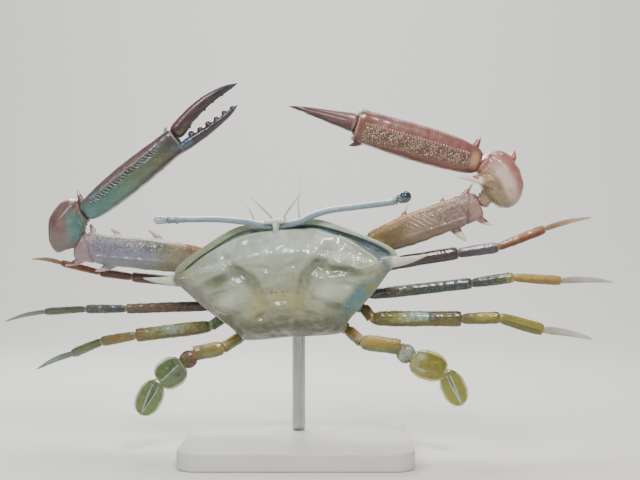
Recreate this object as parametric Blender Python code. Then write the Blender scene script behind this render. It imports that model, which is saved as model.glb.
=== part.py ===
"""Long-eyed swimming crab, life size, on a plain display stand.

The crab is held upright with its back to the front of the stand (-Y), its head end up (+Z)
and its left side at -X.  Sizes below are in millimetres and are turned to metres when a
mesh is made.  The origin is the middle of the underside of the stand's base.

Every limb is a chain of segments.  A segment has a length, a heading (degrees from +X
towards +Z) and a lean (degrees away from the viewer, towards +Y).  Neighbouring segments
meet on the plane that halves the angle between them, with a thin gap.
"""

import math

import bmesh
import bpy
from mathutils import Matrix, Vector

MM = 0.001
GAP = 0.3
MERGE_STEPS = (0.03, 0.01, 0.002, 0.0005)

# Body: turn of the shell and the place of its middle over the stand
PITCH = -12.0
YAW = 12.0
ROLL = 5.0
BODY_AT = Vector((-5.0, -14.0, 74.0))
BODY_TURN = (
    Matrix.Rotation(math.radians(-ROLL), 3, "Y")
    @ Matrix.Rotation(math.radians(-YAW), 3, "Z")
    @ Matrix.Rotation(math.radians(90.0 - PITCH), 3, "X")
)
AWAY = Vector((0.0, 1.0, 0.0))

# Shell: right half outlines, x to the side and y to the front, front middle to rear middle
SHELL_HALF = (
    (0.0, 26.8), (8.0, 26.5), (17.0, 25.2), (26.0, 21.9), (34.0, 18.2), (40.0, 14.4),
    (44.5, 11.9), (48.5, 11.0), (51.5, 10.6), (51.5, 8.4), (48.0, 6.2), (44.5, 2.5),
    (41.0, -1.5), (36.5, -6.2), (31.0, -11.3), (26.8, -15.2), (24.0, -18.8), (21.0, -21.3),
    (11.0, -21.6), (0.0, -21.2),
)
SHELF_HALF = (
    (0.0, 29.5), (8.0, 29.8), (17.5, 29.2), (26.0, 26.0), (35.5, 21.1), (42.0, 17.7),
    (45.8, 15.4), (48.6, 13.2), (49.8, 10.9), (49.6, 8.2), (47.2, 6.0), (43.7, 2.4),
    (40.2, -1.4), (35.8, -5.9), (30.4, -10.8), (26.2, -14.6), (23.2, -18.0), (20.2, -20.3),
    (10.8, -20.8), (0.0, -20.4),
)
SHELL_CENTRE = Vector((0.0, 4.0))
SHELL_TOP = 10.2
SHELL_EDGE = 0.6
SHELL_FRONT_EDGE = 1.6
SHELL_FLOOR = -2.0
SHELL_RINGS = (0.22, 0.42, 0.6, 0.76, 0.88, 0.96, 1.0)

# Swellings and hollows of the shell: x, y, width across, width along, height
SHELL_RELIEF = (
    (0.0, 17.5, 9.0, 4.5, 1.0),
    (13.0, 17.0, 8.0, 4.5, 1.2),
    (0.0, 6.0, 7.0, 5.0, 0.7),
    (0.0, -10.0, 7.0, 4.5, 1.5),
    (26.0, 9.5, 13.0, 2.6, 1.3),
    (20.0, -4.0, 9.0, 5.5, 1.2),
    (11.0, 2.0, 3.2, 8.0, -1.1),
    (34.0, 14.5, 10.0, 2.6, -0.8),
    (9.0, -15.0, 4.0, 4.0, -0.6),
)

SPINE_TIP = Vector((64.2, 10.6, 0.3))
SPINE_ROOT = Vector((44.0, 8.6, 0.95))
SPINE_RADIUS = 2.5

FRONT_STEM = 1.3
FRONT_BAR_HALF = 4.7
FRONT_BAR_Y = 31.0
FRONT_STEM_Z = (0.7, 3.0)
FRONT_BAR_Z = (1.95, 3.1)

# Underside, breast plate, tail flap and mouth plates, all measured from the shell's floor
UNDER_TOP = SHELL_FLOOR - GAP
UNDER_BOTTOM = -9.0
UNDER_GROOVE = -5.2
UNDER_RIM = -2.9
STERNUM_TOP = UNDER_BOTTOM - GAP
STERNUM_FLOOR = -15.0
STERNUM_HALF = (
    (0.0, 9.0), (10.0, 8.6), (17.0, 5.0), (19.0, -3.0), (15.0, -12.0), (9.0, -17.5), (0.0, -18.5),
)
FLAP_THICK = 1.6
FLAP_HALF = ((0.0, 2.5), (1.6, 1.6), (3.0, -4.0), (6.0, -12.0), (9.0, -17.0), (7.5, -19.4), (0.0, -20.0))
MOUTH_PLATE = ((0.8, 10.2), (8.4, 10.6), (8.8, 20.0), (7.2, 26.4), (2.6, 26.8), (0.8, 24.0))
MOUTH_THICK = 1.8

# Limb roots on the body, x, y and z in the body's own frame
ROOTS = {
    "claw_right": (28.0, 11.5, -14.0),
    "claw_left": (-27.0, 10.8, -14.0),
    "leg2_right": (35.0, 4.0, -12.5),
    "leg2_left": (-34.0, 1.5, -12.5),
    "leg3_right": (34.0, -8.3, -12.5),
    "leg3_left": (-35.0, -8.0, -12.5),
    "leg4_right": (31.0, -13.5, -12.0),
    "leg4_left": (-33.0, -13.5, -12.0),
    "swim_right": (23.5, -22.5, -8.8),
    "swim_left": (-24.8, -21.8, -8.8),
}
COXA_START = {
    "claw": (13.0, 4.0, -12.3),
    "leg2": (14.0, 0.5, -12.3),
    "leg3": (14.0, -4.0, -12.3),
    "leg4": (13.0, -9.0, -12.3),
    "swim": (10.0, -14.5, -12.6),
}
COXA_WIDTH = {"claw": 8.6, "leg2": 5.6, "leg3": 5.6, "leg4": 5.8, "swim": 5.4}

# Walking and swimming legs: part, length, heading, lean, width, depth
LEGS = {
    "leg2_right": (
        ("merus", 40.1, 9.0, 3.0, 5.8, 4.4),
        ("carpus", 18.2, 8.0, 3.0, 4.9, 3.6),
        ("propodus", 22.8, 21.0, 8.0, 4.2, 2.8),
        ("dactyl", 24.3, 13.0, 12.0, 2.6, 1.8),
    ),
    "leg3_right": (
        ("merus", 45.4, 6.3, -0.7, 5.2, 4.2),
        ("carpus", 18.7, 8.0, 0.0, 4.7, 3.4),
        ("propodus", 21.3, -4.0, 5.0, 4.2, 2.8),
        ("dactyl", 25.1, -2.0, 7.0, 3.0, 1.8),
    ),
    "leg4_right": (
        ("neck", 6.5, -53.0, -11.0, 5.0, 4.0),
        ("merus", 39.2, 0.0, -4.0, 7.0, 4.8),
        ("carpus", 16.5, 2.0, -3.0, 5.2, 3.6),
        ("propodus", 20.1, -16.0, 6.0, 5.4, 3.2),
        ("dactyl", 24.2, -11.0, 7.0, 3.5, 2.0),
    ),
    "leg2_left": (
        ("merus", 40.6, 175.0, 12.0, 5.0, 4.2),
        ("carpus", 16.1, 173.0, 14.0, 4.0, 3.2),
        ("propodus", 21.8, 168.0, 22.0, 3.4, 2.6),
        ("dactyl", 21.0, 175.0, 32.0, 2.2, 1.6),
    ),
    "leg3_left": (
        ("merus", 42.0, -177.9, 2.9, 4.9, 4.0),
        ("carpus", 19.9, -178.5, 14.6, 4.1, 3.2),
        ("propodus", 23.5, -175.0, 25.0, 3.4, 2.6),
        ("dactyl", 27.8, -166.0, 30.0, 2.2, 1.6),
    ),
    "leg4_left": (
        ("neck", 7.3, -146.0, -5.0, 5.0, 4.0),
        ("merus", 34.3, -173.0, 1.0, 6.5, 4.6),
        ("carpus", 17.4, -169.0, 17.0, 4.6, 3.4),
        ("propodus", 20.3, -157.0, 33.0, 4.2, 2.8),
        ("dactyl", 25.9, -156.0, 30.0, 2.8, 1.8),
    ),
    "swim_right": (
        ("ischium", 8.8, -41.1, -27.7, 5.2, 4.6),
        ("merus", 17.1, -7.1, -3.4, 7.2, 4.8),
        ("carpus", 7.4, -50.6, -7.8, 8.0, 4.2),
        ("propodus", 16.0, -17.4, 0.0, 12.6, 2.6),
        ("dactyl", 16.8, -65.0, 3.5, 10.8, 1.5),
    ),
    "swim_left": (
        ("ischium", 11.4, -148.5, -31.5, 5.2, 4.6),
        ("merus", 13.2, -169.8, -8.8, 6.8, 4.8),
        ("carpus", 6.8, -132.6, -4.2, 7.4, 4.2),
        ("propodus", 13.2, -147.5, -2.2, 13.4, 2.6),
        ("dactyl", 17.0, -117.3, 0.0, 11.4, 1.5),
    ),
}

# How a segment swells along its length: share of the length, share of the width
LEG_SWELL = ((0.0, 0.62), (0.07, 0.8), (0.22, 0.97), (0.55, 1.0), (0.86, 0.94), (1.0, 0.74))
LINK_SWELL = ((0.0, 0.62), (0.14, 0.84), (0.45, 0.98), (0.82, 1.0), (1.0, 0.74))
NAIL_SWELL = (
    (0.0, 0.72), (0.1, 0.95), (0.3, 1.0), (0.55, 0.82), (0.78, 0.54), (0.92, 0.28), (1.0, 0.0),
)
OAR_SWELL = ((0.0, 0.5), (0.1, 0.76), (0.3, 0.98), (0.6, 1.0), (0.84, 0.84), (1.0, 0.46))
BLADE_SWELL = (
    (0.0, 0.4), (0.08, 0.62), (0.25, 0.9), (0.48, 1.0), (0.7, 0.93), (0.86, 0.7), (0.95, 0.42), (1.0, 0.0),
)
LEG_SIDES = 8
LEG_POWER = 2.2
OAR_POWER = 2.4
WIDE_LEG = 9.0
WIDE_SIDES = 12
NAIL_BOW = 0.8
NECK_THIN = 0.8
KNEE_SHARE = 0.12
MITRE_FADE = 2.5

# Claws: length, heading and lean of each stretch from the limb's root to the tips.  A wrist is an
# egg with two collars.  A finger has its width, depth and length, the shift of its root and of
# its tip towards the lower edge and away from the viewer, and its bow towards the outer side.
ARMS = {
    "right": {
        "merus": (60.3, 19.9, -2.1),
        "merus_collar": (14.2, 52.3, -12.2),
        "palm_collar": (12.0, 142.1, -12.4),
        "palm": (56.6, 163.9, -6.5),
        "finger": (164.5, -3.9),
        "merus_size": (13.4, 9.5),
        "wrist_size": (12.8, 9.4, 8.0),
        "wrist_heading": 110.0,
        "collar_width": (7.2, 9.4),
        "palm_size": (15.2, 10.6),
        "moving": (8.2, 4.8, 29.5, (-0.5, -2.5), (0.0, -1.3), 0.0),
        "fixed": (5.0, 4.4, 28.2, (0.9, 2.5), (0.0, 1.4), 0.0),
        "teeth": (0.0, 0.0),
    },
    "left": {
        "merus": (70.9, 173.8, 3.0),
        "merus_collar": (9.7, 110.7, -8.9),
        "palm_collar": (10.5, 33.9, -12.7),
        "palm": (54.1, 37.7, -7.1),
        "finger": (36.3, -7.9),
        "merus_size": (14.0, 9.5),
        "wrist_size": (12.8, 8.4, 8.0),
        "wrist_heading": 75.0,
        "collar_width": (8.0, 9.0),
        "palm_size": (13.0, 9.8),
        "moving": (7.2, 6.0, 36.0, (-2.5, 0.0), (-4.0, 0.0), 2.6),
        "fixed": (5.2, 5.8, 31.0, (4.1, 0.0), (4.3, 0.0), 0.8),
        "teeth": (2.0, 0.8),
    },
}
MERUS_SWELL = ((0.0, 0.56), (0.06, 0.74), (0.2, 0.92), (0.45, 1.02), (0.72, 1.0), (0.9, 0.94), (1.0, 0.78))
PALM_SWELL = ((0.0, 0.6), (0.06, 0.76), (0.2, 0.95), (0.5, 1.04), (0.75, 1.0), (0.92, 0.94), (1.0, 0.86))
FINGER_SWELL = ((0.0, 1.0), (0.15, 0.94), (0.35, 0.84), (0.55, 0.72), (0.75, 0.56), (0.9, 0.34), (1.0, 0.0))
WEDGE_SWELL = ((0.0, 1.0), (0.15, 0.88), (0.4, 0.64), (0.65, 0.42), (0.85, 0.22), (1.0, 0.0))
HIP_SWELL = ((0.0, 0.62), (0.5, 0.74), (1.0, 0.68))
HIP_SHARE = 0.12
HIP_DEPTH = 1.05
MERUS_POWER = 2.6
PALM_POWER = 2.7
FINGER_POWER = 2.2
COLLAR_SWELL = ((0.0, 1.0), (0.75, 1.0), (1.0, 0.86))
COLLAR_DEPTH = 0.9
COLLAR_SIDES = 10
CLAW_SIDES = 12
FINGER_SIDES = 8
FINGER_SINK = 5.0
TEETH = 5
TEETH_FROM = 0.3
TEETH_TO = 0.88
TOOTH_SEAT = 0.36
TOOTH_FADE = 0.6
TOOTH_SMALL = 0.65
TOOTH_LOSS = 0.35
TOOTH_REACH = 0.12
TOOTH_WIDE = 0.8
TOOTH_SINK = 0.9
TOOTH_SIDES = 5
TOOTH_LEAN = 0.1
SPINE_SEAT = 0.38
SPINE_SINK = 2.0
WRIST_SEAT = 0.8
WRIST_AROUND = 14
WRIST_ROWS = 9

# Spines on the arms: share of the segment, side (1 upper, -1 lower), length, radius, sweep
MERUS_SPINES = {
    "right": ((0.37, 1, 7.4, 1.2, 0.65), (0.72, 1, 4.8, 1.1, 0.3), (0.9, 1, 7.6, 1.6, 1.2),
              (0.74, -1, 9.2, 1.9, 0.4), (0.96, -1, 8.0, 1.3, 0.9)),
    "left": ((0.37, 1, 9.6, 1.3, 1.3), (0.68, 1, 6.6, 1.2, 1.2), (0.88, 1, 5.8, 1.3, 0.4),
             (0.71, -1, 9.6, 1.6, 1.6), (0.95, -1, 8.2, 1.4, 1.8)),
}
# Wrist spines: heading and lean of the root from the middle, then of the spine, length, radius
WRIST_SPINES = {
    "right": ((57.0, 0.0, 72.0, 0.0, 7.0, 1.5), (200.0, -42.0, 171.0, -14.0, 15.0, 1.7)),
    "left": ((215.0, 0.0, 200.0, 0.0, 4.0, 1.2),),
}
PALM_SPINES = {
    "right": ((0.07, 1, 5.8, 1.4, -0.2), (0.93, -1, 5.6, 1.3, 1.2)),
    "left": ((0.04, 1, 6.4, 1.3, 0.3), (0.95, 1, 3.4, 1.0, 0.8)),
}

# Eye stalks and feelers: steps of length, heading and lean, from a point on the front
STALKS = {
    "right": ((9.0, 11.2, -10.6), (7.3, 24.4, -13.5), (7.3, 15.0, -15.8), (11.0, 6.9, -15.8),
              (14.3, 6.9, -14.2), (3.9, 20.4, -15.0)),
    "left": ((5.6, 174.0, 5.0), (6.9, 168.9, 8.4), (11.4, 174.8, 8.0), (11.6, 179.6, 9.0),
             (11.3, 181.4, 10.2)),
}
STALK_ROOT = (FRONT_STEM + GAP, 28.6, 0.0)
STALK_THICK = 3.2
STALK_THIN = 2.6
STALK_KNOB = 0.7
EYE_SIZE = {"right": (6.0, 5.2), "left": (6.6, 4.2)}
EYE_HEADING = {"right": (20.0, -12.0), "left": (180.0, 10.0)}
ANTENNULES = {
    "right": ((3.4, 29.6), ((7.5, 55.0, -12.0), (6.0, 50.0, -14.0))),
    "left": ((-2.6, 29.6), ((7.6, 135.0, -8.0), (6.2, 134.0, -9.0))),
}
ANTENNAE = {
    "right": ((9.8, 29.8), ((6.0, 92.0, 4.0), (11.0, 84.0, 4.0))),
    "left": ((-10.6, 29.8), ((5.0, 118.0, 0.0), (8.0, 140.0, 2.0))),
}
FEELER_Z = -3.45
FEELER_REACH = 2.0
FEELER_THICK = 1.3
FEELER_THIN = 0.9

# Display stand
BASE_WIDTH = 100.0
BASE_DEPTH = 84.0
BASE_HIGH = 8.0
BASE_CORNER = 10.0
BASE_EDGE = 1.0
ROD_THICK = 6.0
ROD_TOP = (0.0, 7.5)
ROD_STRAIGHT = 5.0
ROD_BEND = 11.0
ROD_SIDES = 16

COLOURS = {
    "shell": ((0.50, 0.56, 0.46), 0.35),
    "under": ((0.62, 0.66, 0.55), 0.45),
    "claw": ((0.42, 0.29, 0.27), 0.4),
    "arm": ((0.48, 0.42, 0.38), 0.4),
    "finger": ((0.16, 0.09, 0.09), 0.35),
    "leg": ((0.35, 0.36, 0.14), 0.4),
    "paddle": ((0.42, 0.46, 0.10), 0.35),
    "stalk": ((0.42, 0.53, 0.60), 0.3),
    "eye": ((0.06, 0.10, 0.13), 0.1),
    "base": ((0.62, 0.62, 0.60), 0.5),
    "rod": ((0.55, 0.55, 0.56), 0.3),
}


def body_point(x, y, z):
    """World place of a point given in the body's own frame."""
    return BODY_AT + BODY_TURN @ Vector((x, y, z))


def direction(heading, lean):
    """Unit vector for a heading in the picture plane and a lean away from the viewer."""
    a = math.radians(heading)
    b = math.radians(lean)
    return Vector((math.cos(a) * math.cos(b), math.sin(b), math.sin(a) * math.cos(b)))


def clear_scene():
    """Remove every object that the file opened with."""
    for thing in list(bpy.data.objects):
        bpy.data.objects.remove(thing, do_unlink=True)


def material(name):
    """Principled material of one of the named colours."""
    found = bpy.data.materials.get(name)
    if found:
        return found
    colour, roughness = COLOURS[name]
    made = bpy.data.materials.new(name)
    made.use_nodes = True
    shader = made.node_tree.nodes["Principled BSDF"]
    shader.inputs["Base Color"].default_value = (*colour, 1.0)
    shader.inputs["Roughness"].default_value = roughness
    shader.inputs["Metallic"].default_value = 1.0 if name == "rod" else 0.0
    return made


def mesh_from(points, faces, name="piece"):
    """Closed triangle mesh, in millimetres, with its faces turned outward."""
    bm = bmesh.new()
    verts = [bm.verts.new(p) for p in points]
    for face in faces:
        bm.faces.new([verts[i] for i in face])
    bmesh.ops.recalc_face_normals(bm, faces=bm.faces)
    bmesh.ops.triangulate(bm, faces=bm.faces)
    mesh = bpy.data.meshes.new(name)
    bm.to_mesh(mesh)
    bm.free()
    return mesh


def keep_largest(bm):
    """Delete every loose surface but the one with the most faces."""
    seen = set()
    groups = []
    for face in bm.faces:
        if face.index in seen:
            continue
        group = []
        stack = [face]
        seen.add(face.index)
        while stack:
            here = stack.pop()
            group.append(here)
            for edge in here.edges:
                for other in edge.link_faces:
                    if other.index not in seen:
                        seen.add(other.index)
                        stack.append(other)
        groups.append(group)
    groups.sort(key=len)
    for group in groups[:-1]:
        verts = {v for f in group for v in f.verts}
        bmesh.ops.delete(bm, geom=list(verts), context="VERTS")


def fuse(mesh, extras):
    """Union of a mesh and a list of closed meshes, as one closed mesh."""
    if not extras:
        return mesh
    mesh.name = "fused"
    group = bpy.data.collections.new("fuse")
    bpy.context.scene.collection.children.link(group)
    for extra in extras:
        group.objects.link(bpy.data.objects.new("extra", extra))
    target = bpy.data.objects.new("target", mesh)
    bpy.context.scene.collection.objects.link(target)
    join = target.modifiers.new("join", "BOOLEAN")
    join.operation = "UNION"
    join.operand_type = "COLLECTION"
    join.collection = group
    join.solver = "EXACT"
    graph = bpy.context.evaluated_depsgraph_get()
    graph.update()
    joined = bpy.data.meshes.new_from_object(target.evaluated_get(graph))
    for thing in list(group.objects) + [target]:
        bpy.data.objects.remove(thing, do_unlink=True)
    bpy.data.collections.remove(group)
    for merge in MERGE_STEPS:
        bm = bmesh.new()
        bm.from_mesh(joined)
        bmesh.ops.triangulate(bm, faces=bm.faces)
        bmesh.ops.remove_doubles(bm, verts=bm.verts, dist=merge)
        bmesh.ops.dissolve_degenerate(bm, edges=bm.edges, dist=merge / 4.0)
        bmesh.ops.triangulate(bm, faces=bm.faces)
        bm.faces.index_update()
        keep_largest(bm)
        closed = all(len(edge.link_faces) == 2 for edge in bm.edges)
        if closed:
            bm.to_mesh(joined)
        bm.free()
        if closed:
            break
    return joined


def place(name, mesh, colour, sharp=40.0):
    """Make the named object of one node from a mesh in millimetres."""
    mesh.transform(Matrix.Scale(MM, 4))
    mesh.materials.clear()
    mesh.materials.append(material(colour))
    mesh.shade_smooth()
    mesh.set_sharp_from_angle(angle=math.radians(sharp))
    thing = bpy.data.objects.new(name, mesh)
    bpy.context.scene.collection.objects.link(thing)
    return thing


def frame_at(tangent):
    """Across and depth directions of a limb that runs along the tangent."""
    depth = (AWAY - tangent * AWAY.dot(tangent)).normalized()
    across = depth.cross(tangent).normalized()
    return across, depth


def ring(centre, tangent, width, depth, sides, power=2.0, shift=0.0):
    """One closed ring of points round a limb, from a rounded or boxy section."""
    across, deep = frame_at(tangent)
    points = []
    for i in range(sides):
        a = 2.0 * math.pi * (i + 0.5) / sides
        c = math.cos(a)
        s = math.sin(a)
        u = math.copysign(abs(c) ** (2.0 / power), c) * width / 2.0
        v = math.copysign(abs(s) ** (2.0 / power), s) * depth / 2.0
        points.append(centre + across * (u + shift) + deep * v)
    return points


def slide(points, tangent, plane_point, plane_normal):
    """Slide a ring along its limb until it lies in a plane."""
    reach = plane_normal.dot(tangent)
    return [p + tangent * (plane_normal.dot(plane_point - p) / reach) for p in points]


def lean_ring(points, centre, tangent, plane, share):
    """Tilt a ring a share of the way towards the lie of a joint plane."""
    if not plane or share in (0.0, 1.0):
        return points
    normal = plane[1]
    reach = normal.dot(tangent)
    return [p - tangent * (normal.dot(p - centre) / reach * share) for p in points]


def loft(rings, tip=None, start_tip=None):
    """Closed mesh through rings of points, with flat ends or pointed tips."""
    points = [p for r in rings for p in r]
    sides = len(rings[0])
    faces = []
    for k in range(len(rings) - 1):
        for i in range(sides):
            j = (i + 1) % sides
            faces.append((k * sides + i, k * sides + j, (k + 1) * sides + j, (k + 1) * sides + i))
    last = (len(rings) - 1) * sides
    if start_tip is None:
        faces.append(tuple(range(sides)))
    else:
        points.append(start_tip)
        faces += [(len(points) - 1, i, (i + 1) % sides) for i in range(sides)]
    if tip is None:
        faces.append(tuple(range(last, last + sides)))
    else:
        points.append(tip)
        faces += [(len(points) - 1, last + i, last + (i + 1) % sides) for i in range(sides)]
    return mesh_from(points, faces)


def segment(start, end, width, depth, swell, sides, start_plane, end_plane, power=2.3, bow=0.0):
    """One limb segment from start to end, cut by the joint planes at both ends."""
    tangent = (end - start).normalized()
    across, _ = frame_at(tangent)
    rings = []
    tip = None
    for share, size in swell:
        centre = start.lerp(end, share) + across * (bow * math.sin(math.pi * share))
        if size == 0.0:
            tip = centre
            continue
        points = ring(centre, tangent, width * size, depth * size, sides, power)
        points = lean_ring(points, centre, tangent, start_plane, (1.0 - share) ** MITRE_FADE)
        points = lean_ring(points, centre, tangent, end_plane, share ** MITRE_FADE)
        if share == 0.0 and start_plane:
            points = slide(points, tangent, start_plane[0], start_plane[1])
        if share == 1.0 and end_plane:
            points = slide(points, tangent, end_plane[0], end_plane[1])
        rings.append(points)
    return loft(rings, tip)


def joint_planes(at, before, after):
    """The two faces of a joint, half a gap to each side of the plane between two segments."""
    normal = (before + after).normalized()
    return (at - normal * GAP / 2.0, normal), (at + normal * GAP / 2.0, normal)


def spike(root, tip, radius, sink, sides=5, bend=None):
    """Tapered spine from below a surface to its tip."""
    along = (tip - root).normalized()
    base = root - along * sink
    across = along.orthogonal().normalized()
    other = along.cross(across)
    bend = bend or Vector((0.0, 0.0, 0.0))
    rings = []
    for share, size in ((0.0, 1.0), (0.45, 0.74), (0.8, 0.36)):
        centre = base.lerp(tip, share) + bend * math.sin(math.pi * share)
        rings.append([
            centre + (across * math.cos(2.0 * math.pi * i / sides)
                      + other * math.sin(2.0 * math.pi * i / sides)) * radius * size
            for i in range(sides)
        ])
    return loft(rings, tip)


def full_outline(half, spans=2):
    """Closed smooth outline from its right half, by curves through the named points."""
    count = len(half)
    ghost_first = (-half[1][0], half[1][1])
    ghost_last = (-half[-2][0], half[-2][1])
    pts = [Vector(p) for p in (ghost_first,) + tuple(half) + (ghost_last,)]
    right = []
    for i in range(1, count):
        p0, p1, p2, p3 = pts[i - 1], pts[i], pts[i + 1], pts[i + 2]
        for k in range(spans):
            t = k / spans
            right.append(0.5 * ((2 * p1) + (p2 - p0) * t + (2 * p0 - 5 * p1 + 4 * p2 - p3) * t * t
                                + (3 * p1 - p0 - 3 * p2 + p3) * t ** 3))
    right.append(Vector(half[-1]))
    left = [Vector((-p.x, p.y)) for p in reversed(right[1:-1])]
    return right + left


def shell_height(x, y, rho):
    """Height of the shell's back over its floor plane at a place inside the outline."""
    front = max(0.0, min(1.0, (y - 8.0) / 16.0))
    edge = SHELL_EDGE + (SHELL_FRONT_EDGE - SHELL_EDGE) * front
    side = 1.0 - 0.30 * min(1.0, abs(x) / 50.0) ** 2
    dome = (1.0 - rho ** 2.6) ** 0.85
    height = edge + (SHELL_TOP * side - edge) * dome
    for cx, cy, wide, long, lift in SHELL_RELIEF:
        spread = ((abs(x) - cx) / wide) ** 2 + ((y - cy) / long) ** 2
        height += lift * (1.0 - rho ** 6) * math.exp(-spread)
    return height


def plate_grid(outline, rings, top, floor, mid=None):
    """Closed plate: a top surface over an outline and a flat floor with its own outline scale."""
    count = len(outline)
    centre = SHELL_CENTRE
    points = [Vector((centre.x, centre.y, top(centre.x, centre.y, 0.0)))]
    faces = []
    for rho in rings:
        for p in outline:
            q = centre + (p - centre) * rho
            points.append(Vector((q.x, q.y, top(q.x, q.y, rho))))
    for scale, z in (mid or ()):
        for p in outline:
            q = centre + (p - centre) * scale
            points.append(Vector((q.x, q.y, z)))
    loops = len(rings) + len(mid or ())
    faces += [(0, 1 + (i + 1) % count, 1 + i) for i in range(count)]
    for k in range(loops - 1):
        for i in range(count):
            a = 1 + k * count + i
            b = 1 + k * count + (i + 1) % count
            faces.append((a, b, b + count, a + count))
    points.append(Vector((centre.x, centre.y, floor)))
    last = 1 + (loops - 1) * count
    faces += [(len(points) - 1, last + i, last + (i + 1) % count) for i in range(count)]
    return [body_point(*p) for p in points], faces


def slab(half, top, floor, mirror=True):
    """Flat plate with a polygon outline in the body's frame."""
    if mirror:
        outline = [Vector(p) for p in half] + [Vector((-p[0], p[1])) for p in reversed(half[1:-1])]
    else:
        outline = [Vector(p) for p in half]
    centre = sum(outline, Vector((0.0, 0.0))) / len(outline)
    rings = []
    for z, scale in ((top, 1.0), ((top + floor) / 2.0, 1.0), (floor, 0.9)):
        rings.append([body_point(*(centre + (p - centre) * scale), z) for p in outline])
    return loft(rings)


def build_shell():
    """Back shell with its two long side spines and the narrow front."""
    outline = full_outline(SHELL_HALF)
    mid = ((1.0, -0.7), (0.985, SHELL_FLOOR))
    points, faces = plate_grid(outline, SHELL_RINGS, shell_height, SHELL_FLOOR, mid)
    mesh = mesh_from(points, faces)
    extras = []
    for side in (1.0, -1.0):
        root = body_point(side * SPINE_ROOT.x, SPINE_ROOT.y, SPINE_ROOT.z)
        tip = body_point(side * SPINE_TIP.x, SPINE_TIP.y, SPINE_TIP.z)
        bend = BODY_TURN @ Vector((0.0, -0.7, 0.3))
        extras.append(long_spine(root, tip, SPINE_RADIUS, bend))
    stem = ((FRONT_STEM, 22.0), (FRONT_STEM, 31.2), (-FRONT_STEM, 31.2), (-FRONT_STEM, 22.0))
    extras.append(slab(stem, FRONT_STEM_Z[1], FRONT_STEM_Z[0], mirror=False))
    bar_y = FRONT_BAR_Y
    bar = ((FRONT_BAR_HALF, bar_y - 0.3), (FRONT_BAR_HALF - 0.8, bar_y + 1.0), (0.0, bar_y + 1.3),
           (0.8 - FRONT_BAR_HALF, bar_y + 1.0), (-FRONT_BAR_HALF, bar_y - 0.3), (0.0, bar_y - 0.5))
    extras.append(slab(bar, FRONT_BAR_Z[1], FRONT_BAR_Z[0], mirror=False))
    place("carapace", fuse(mesh, extras), "shell")


def long_spine(root, tip, radius, bend):
    """Long side spine with a wide root."""
    along = (tip - root).normalized()
    across = along.orthogonal().normalized()
    other = along.cross(across)
    rings = []
    sides = 8
    for share, size in ((0.0, 1.15), (0.3, 1.0), (0.45, 0.78), (0.6, 0.56), (0.8, 0.36), (0.93, 0.2)):
        centre = root.lerp(tip, share) + bend * math.sin(math.pi * share)
        rings.append([
            centre + (across * math.cos(2.0 * math.pi * i / sides)
                      + other * math.sin(2.0 * math.pi * i / sides)) * radius * size
            for i in range(sides)
        ])
    return loft(rings, tip)


def under_top(x, y, rho):
    """Top of the underside: flat below the shell, a groove and a raised lip along the front."""
    front = max(0.0, min(1.0, (y - 7.0) / 5.0)) * max(0.0, min(1.0, (abs(x) - 5.0) / 5.0))
    groove = math.exp(-(((rho - 0.87) / 0.055) ** 4))
    lip = max(0.0, (rho - 0.9) / 0.1)
    depth = (UNDER_GROOVE - UNDER_TOP) * groove + (UNDER_RIM - UNDER_TOP) * lip * (1.0 - groove)
    return UNDER_TOP + front * depth


def build_underside():
    """Underside of the shell with the lower edge of the eye sockets."""
    outline = full_outline(SHELF_HALF)
    rings = (0.45, 0.78, 0.84, 0.9, 0.95, 1.0)
    mid = ((0.995, -4.2), (0.93, -6.4), (0.78, UNDER_BOTTOM))
    points, faces = plate_grid(outline, rings, under_top, UNDER_BOTTOM, mid)
    place("underside", mesh_from(points, faces), "under")


def coxa(name):
    """Limb root that grows from the breast plate, and the face where the limb starts."""
    kind, side = name.split("_")
    sign = 1.0 if side == "right" else -1.0
    x, y, z = COXA_START[kind]
    start = body_point(sign * x, y, z)
    root = body_point(*ROOTS[name])
    return start, root


def build_sternum(first_steps):
    """Breast plate with the ten limb roots fused on."""
    mesh = slab(STERNUM_HALF, STERNUM_TOP, STERNUM_FLOOR)
    extras = []
    for name, after in first_steps.items():
        start, root = coxa(name)
        width = COXA_WIDTH[name.split("_")[0]]
        before = (root - start).normalized()
        end_plane, _ = joint_planes(root, before, after)
        swell = ((0.0, 0.9), (0.5, 1.0), (0.85, 0.96), (1.0, 0.82))
        extras.append(segment(start, root, width, min(width, 5.6), swell, 8, None, end_plane, 2.2))
    place("sternum", fuse(mesh, extras), "under")


def build_flap():
    """Tail flap folded under the breast plate, with grooves between its rings."""
    outline = [Vector(p) for p in FLAP_HALF]
    outline += [Vector((-p[0], p[1])) for p in reversed(FLAP_HALF[1:-1])]
    top = STERNUM_FLOOR - GAP
    rings = [
        [body_point(p.x, p.y, top) for p in outline],
        [body_point(p.x, p.y, top - FLAP_THICK * 0.6) for p in outline],
        [body_point(p.x * 0.8, p.y * 0.96 - 0.3, top - FLAP_THICK) for p in outline],
    ]
    place("abdomen", loft(rings), "under")


def build_mouth():
    """Pair of outer mouth plates, side by side under the front."""
    for side, sign in (("right", 1.0), ("left", -1.0)):
        outline = [(sign * x, y) for x, y in MOUTH_PLATE]
        top = STERNUM_TOP
        place("maxilliped_" + side, slab(outline, top, top - MOUTH_THICK, mirror=False), "under")


def curve_through(start, steps):
    """Points along a chain of steps, and the direction of each step."""
    points = [start]
    for length, heading, lean in steps:
        points.append(points[-1] + direction(heading, lean) * length)
    return points


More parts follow.
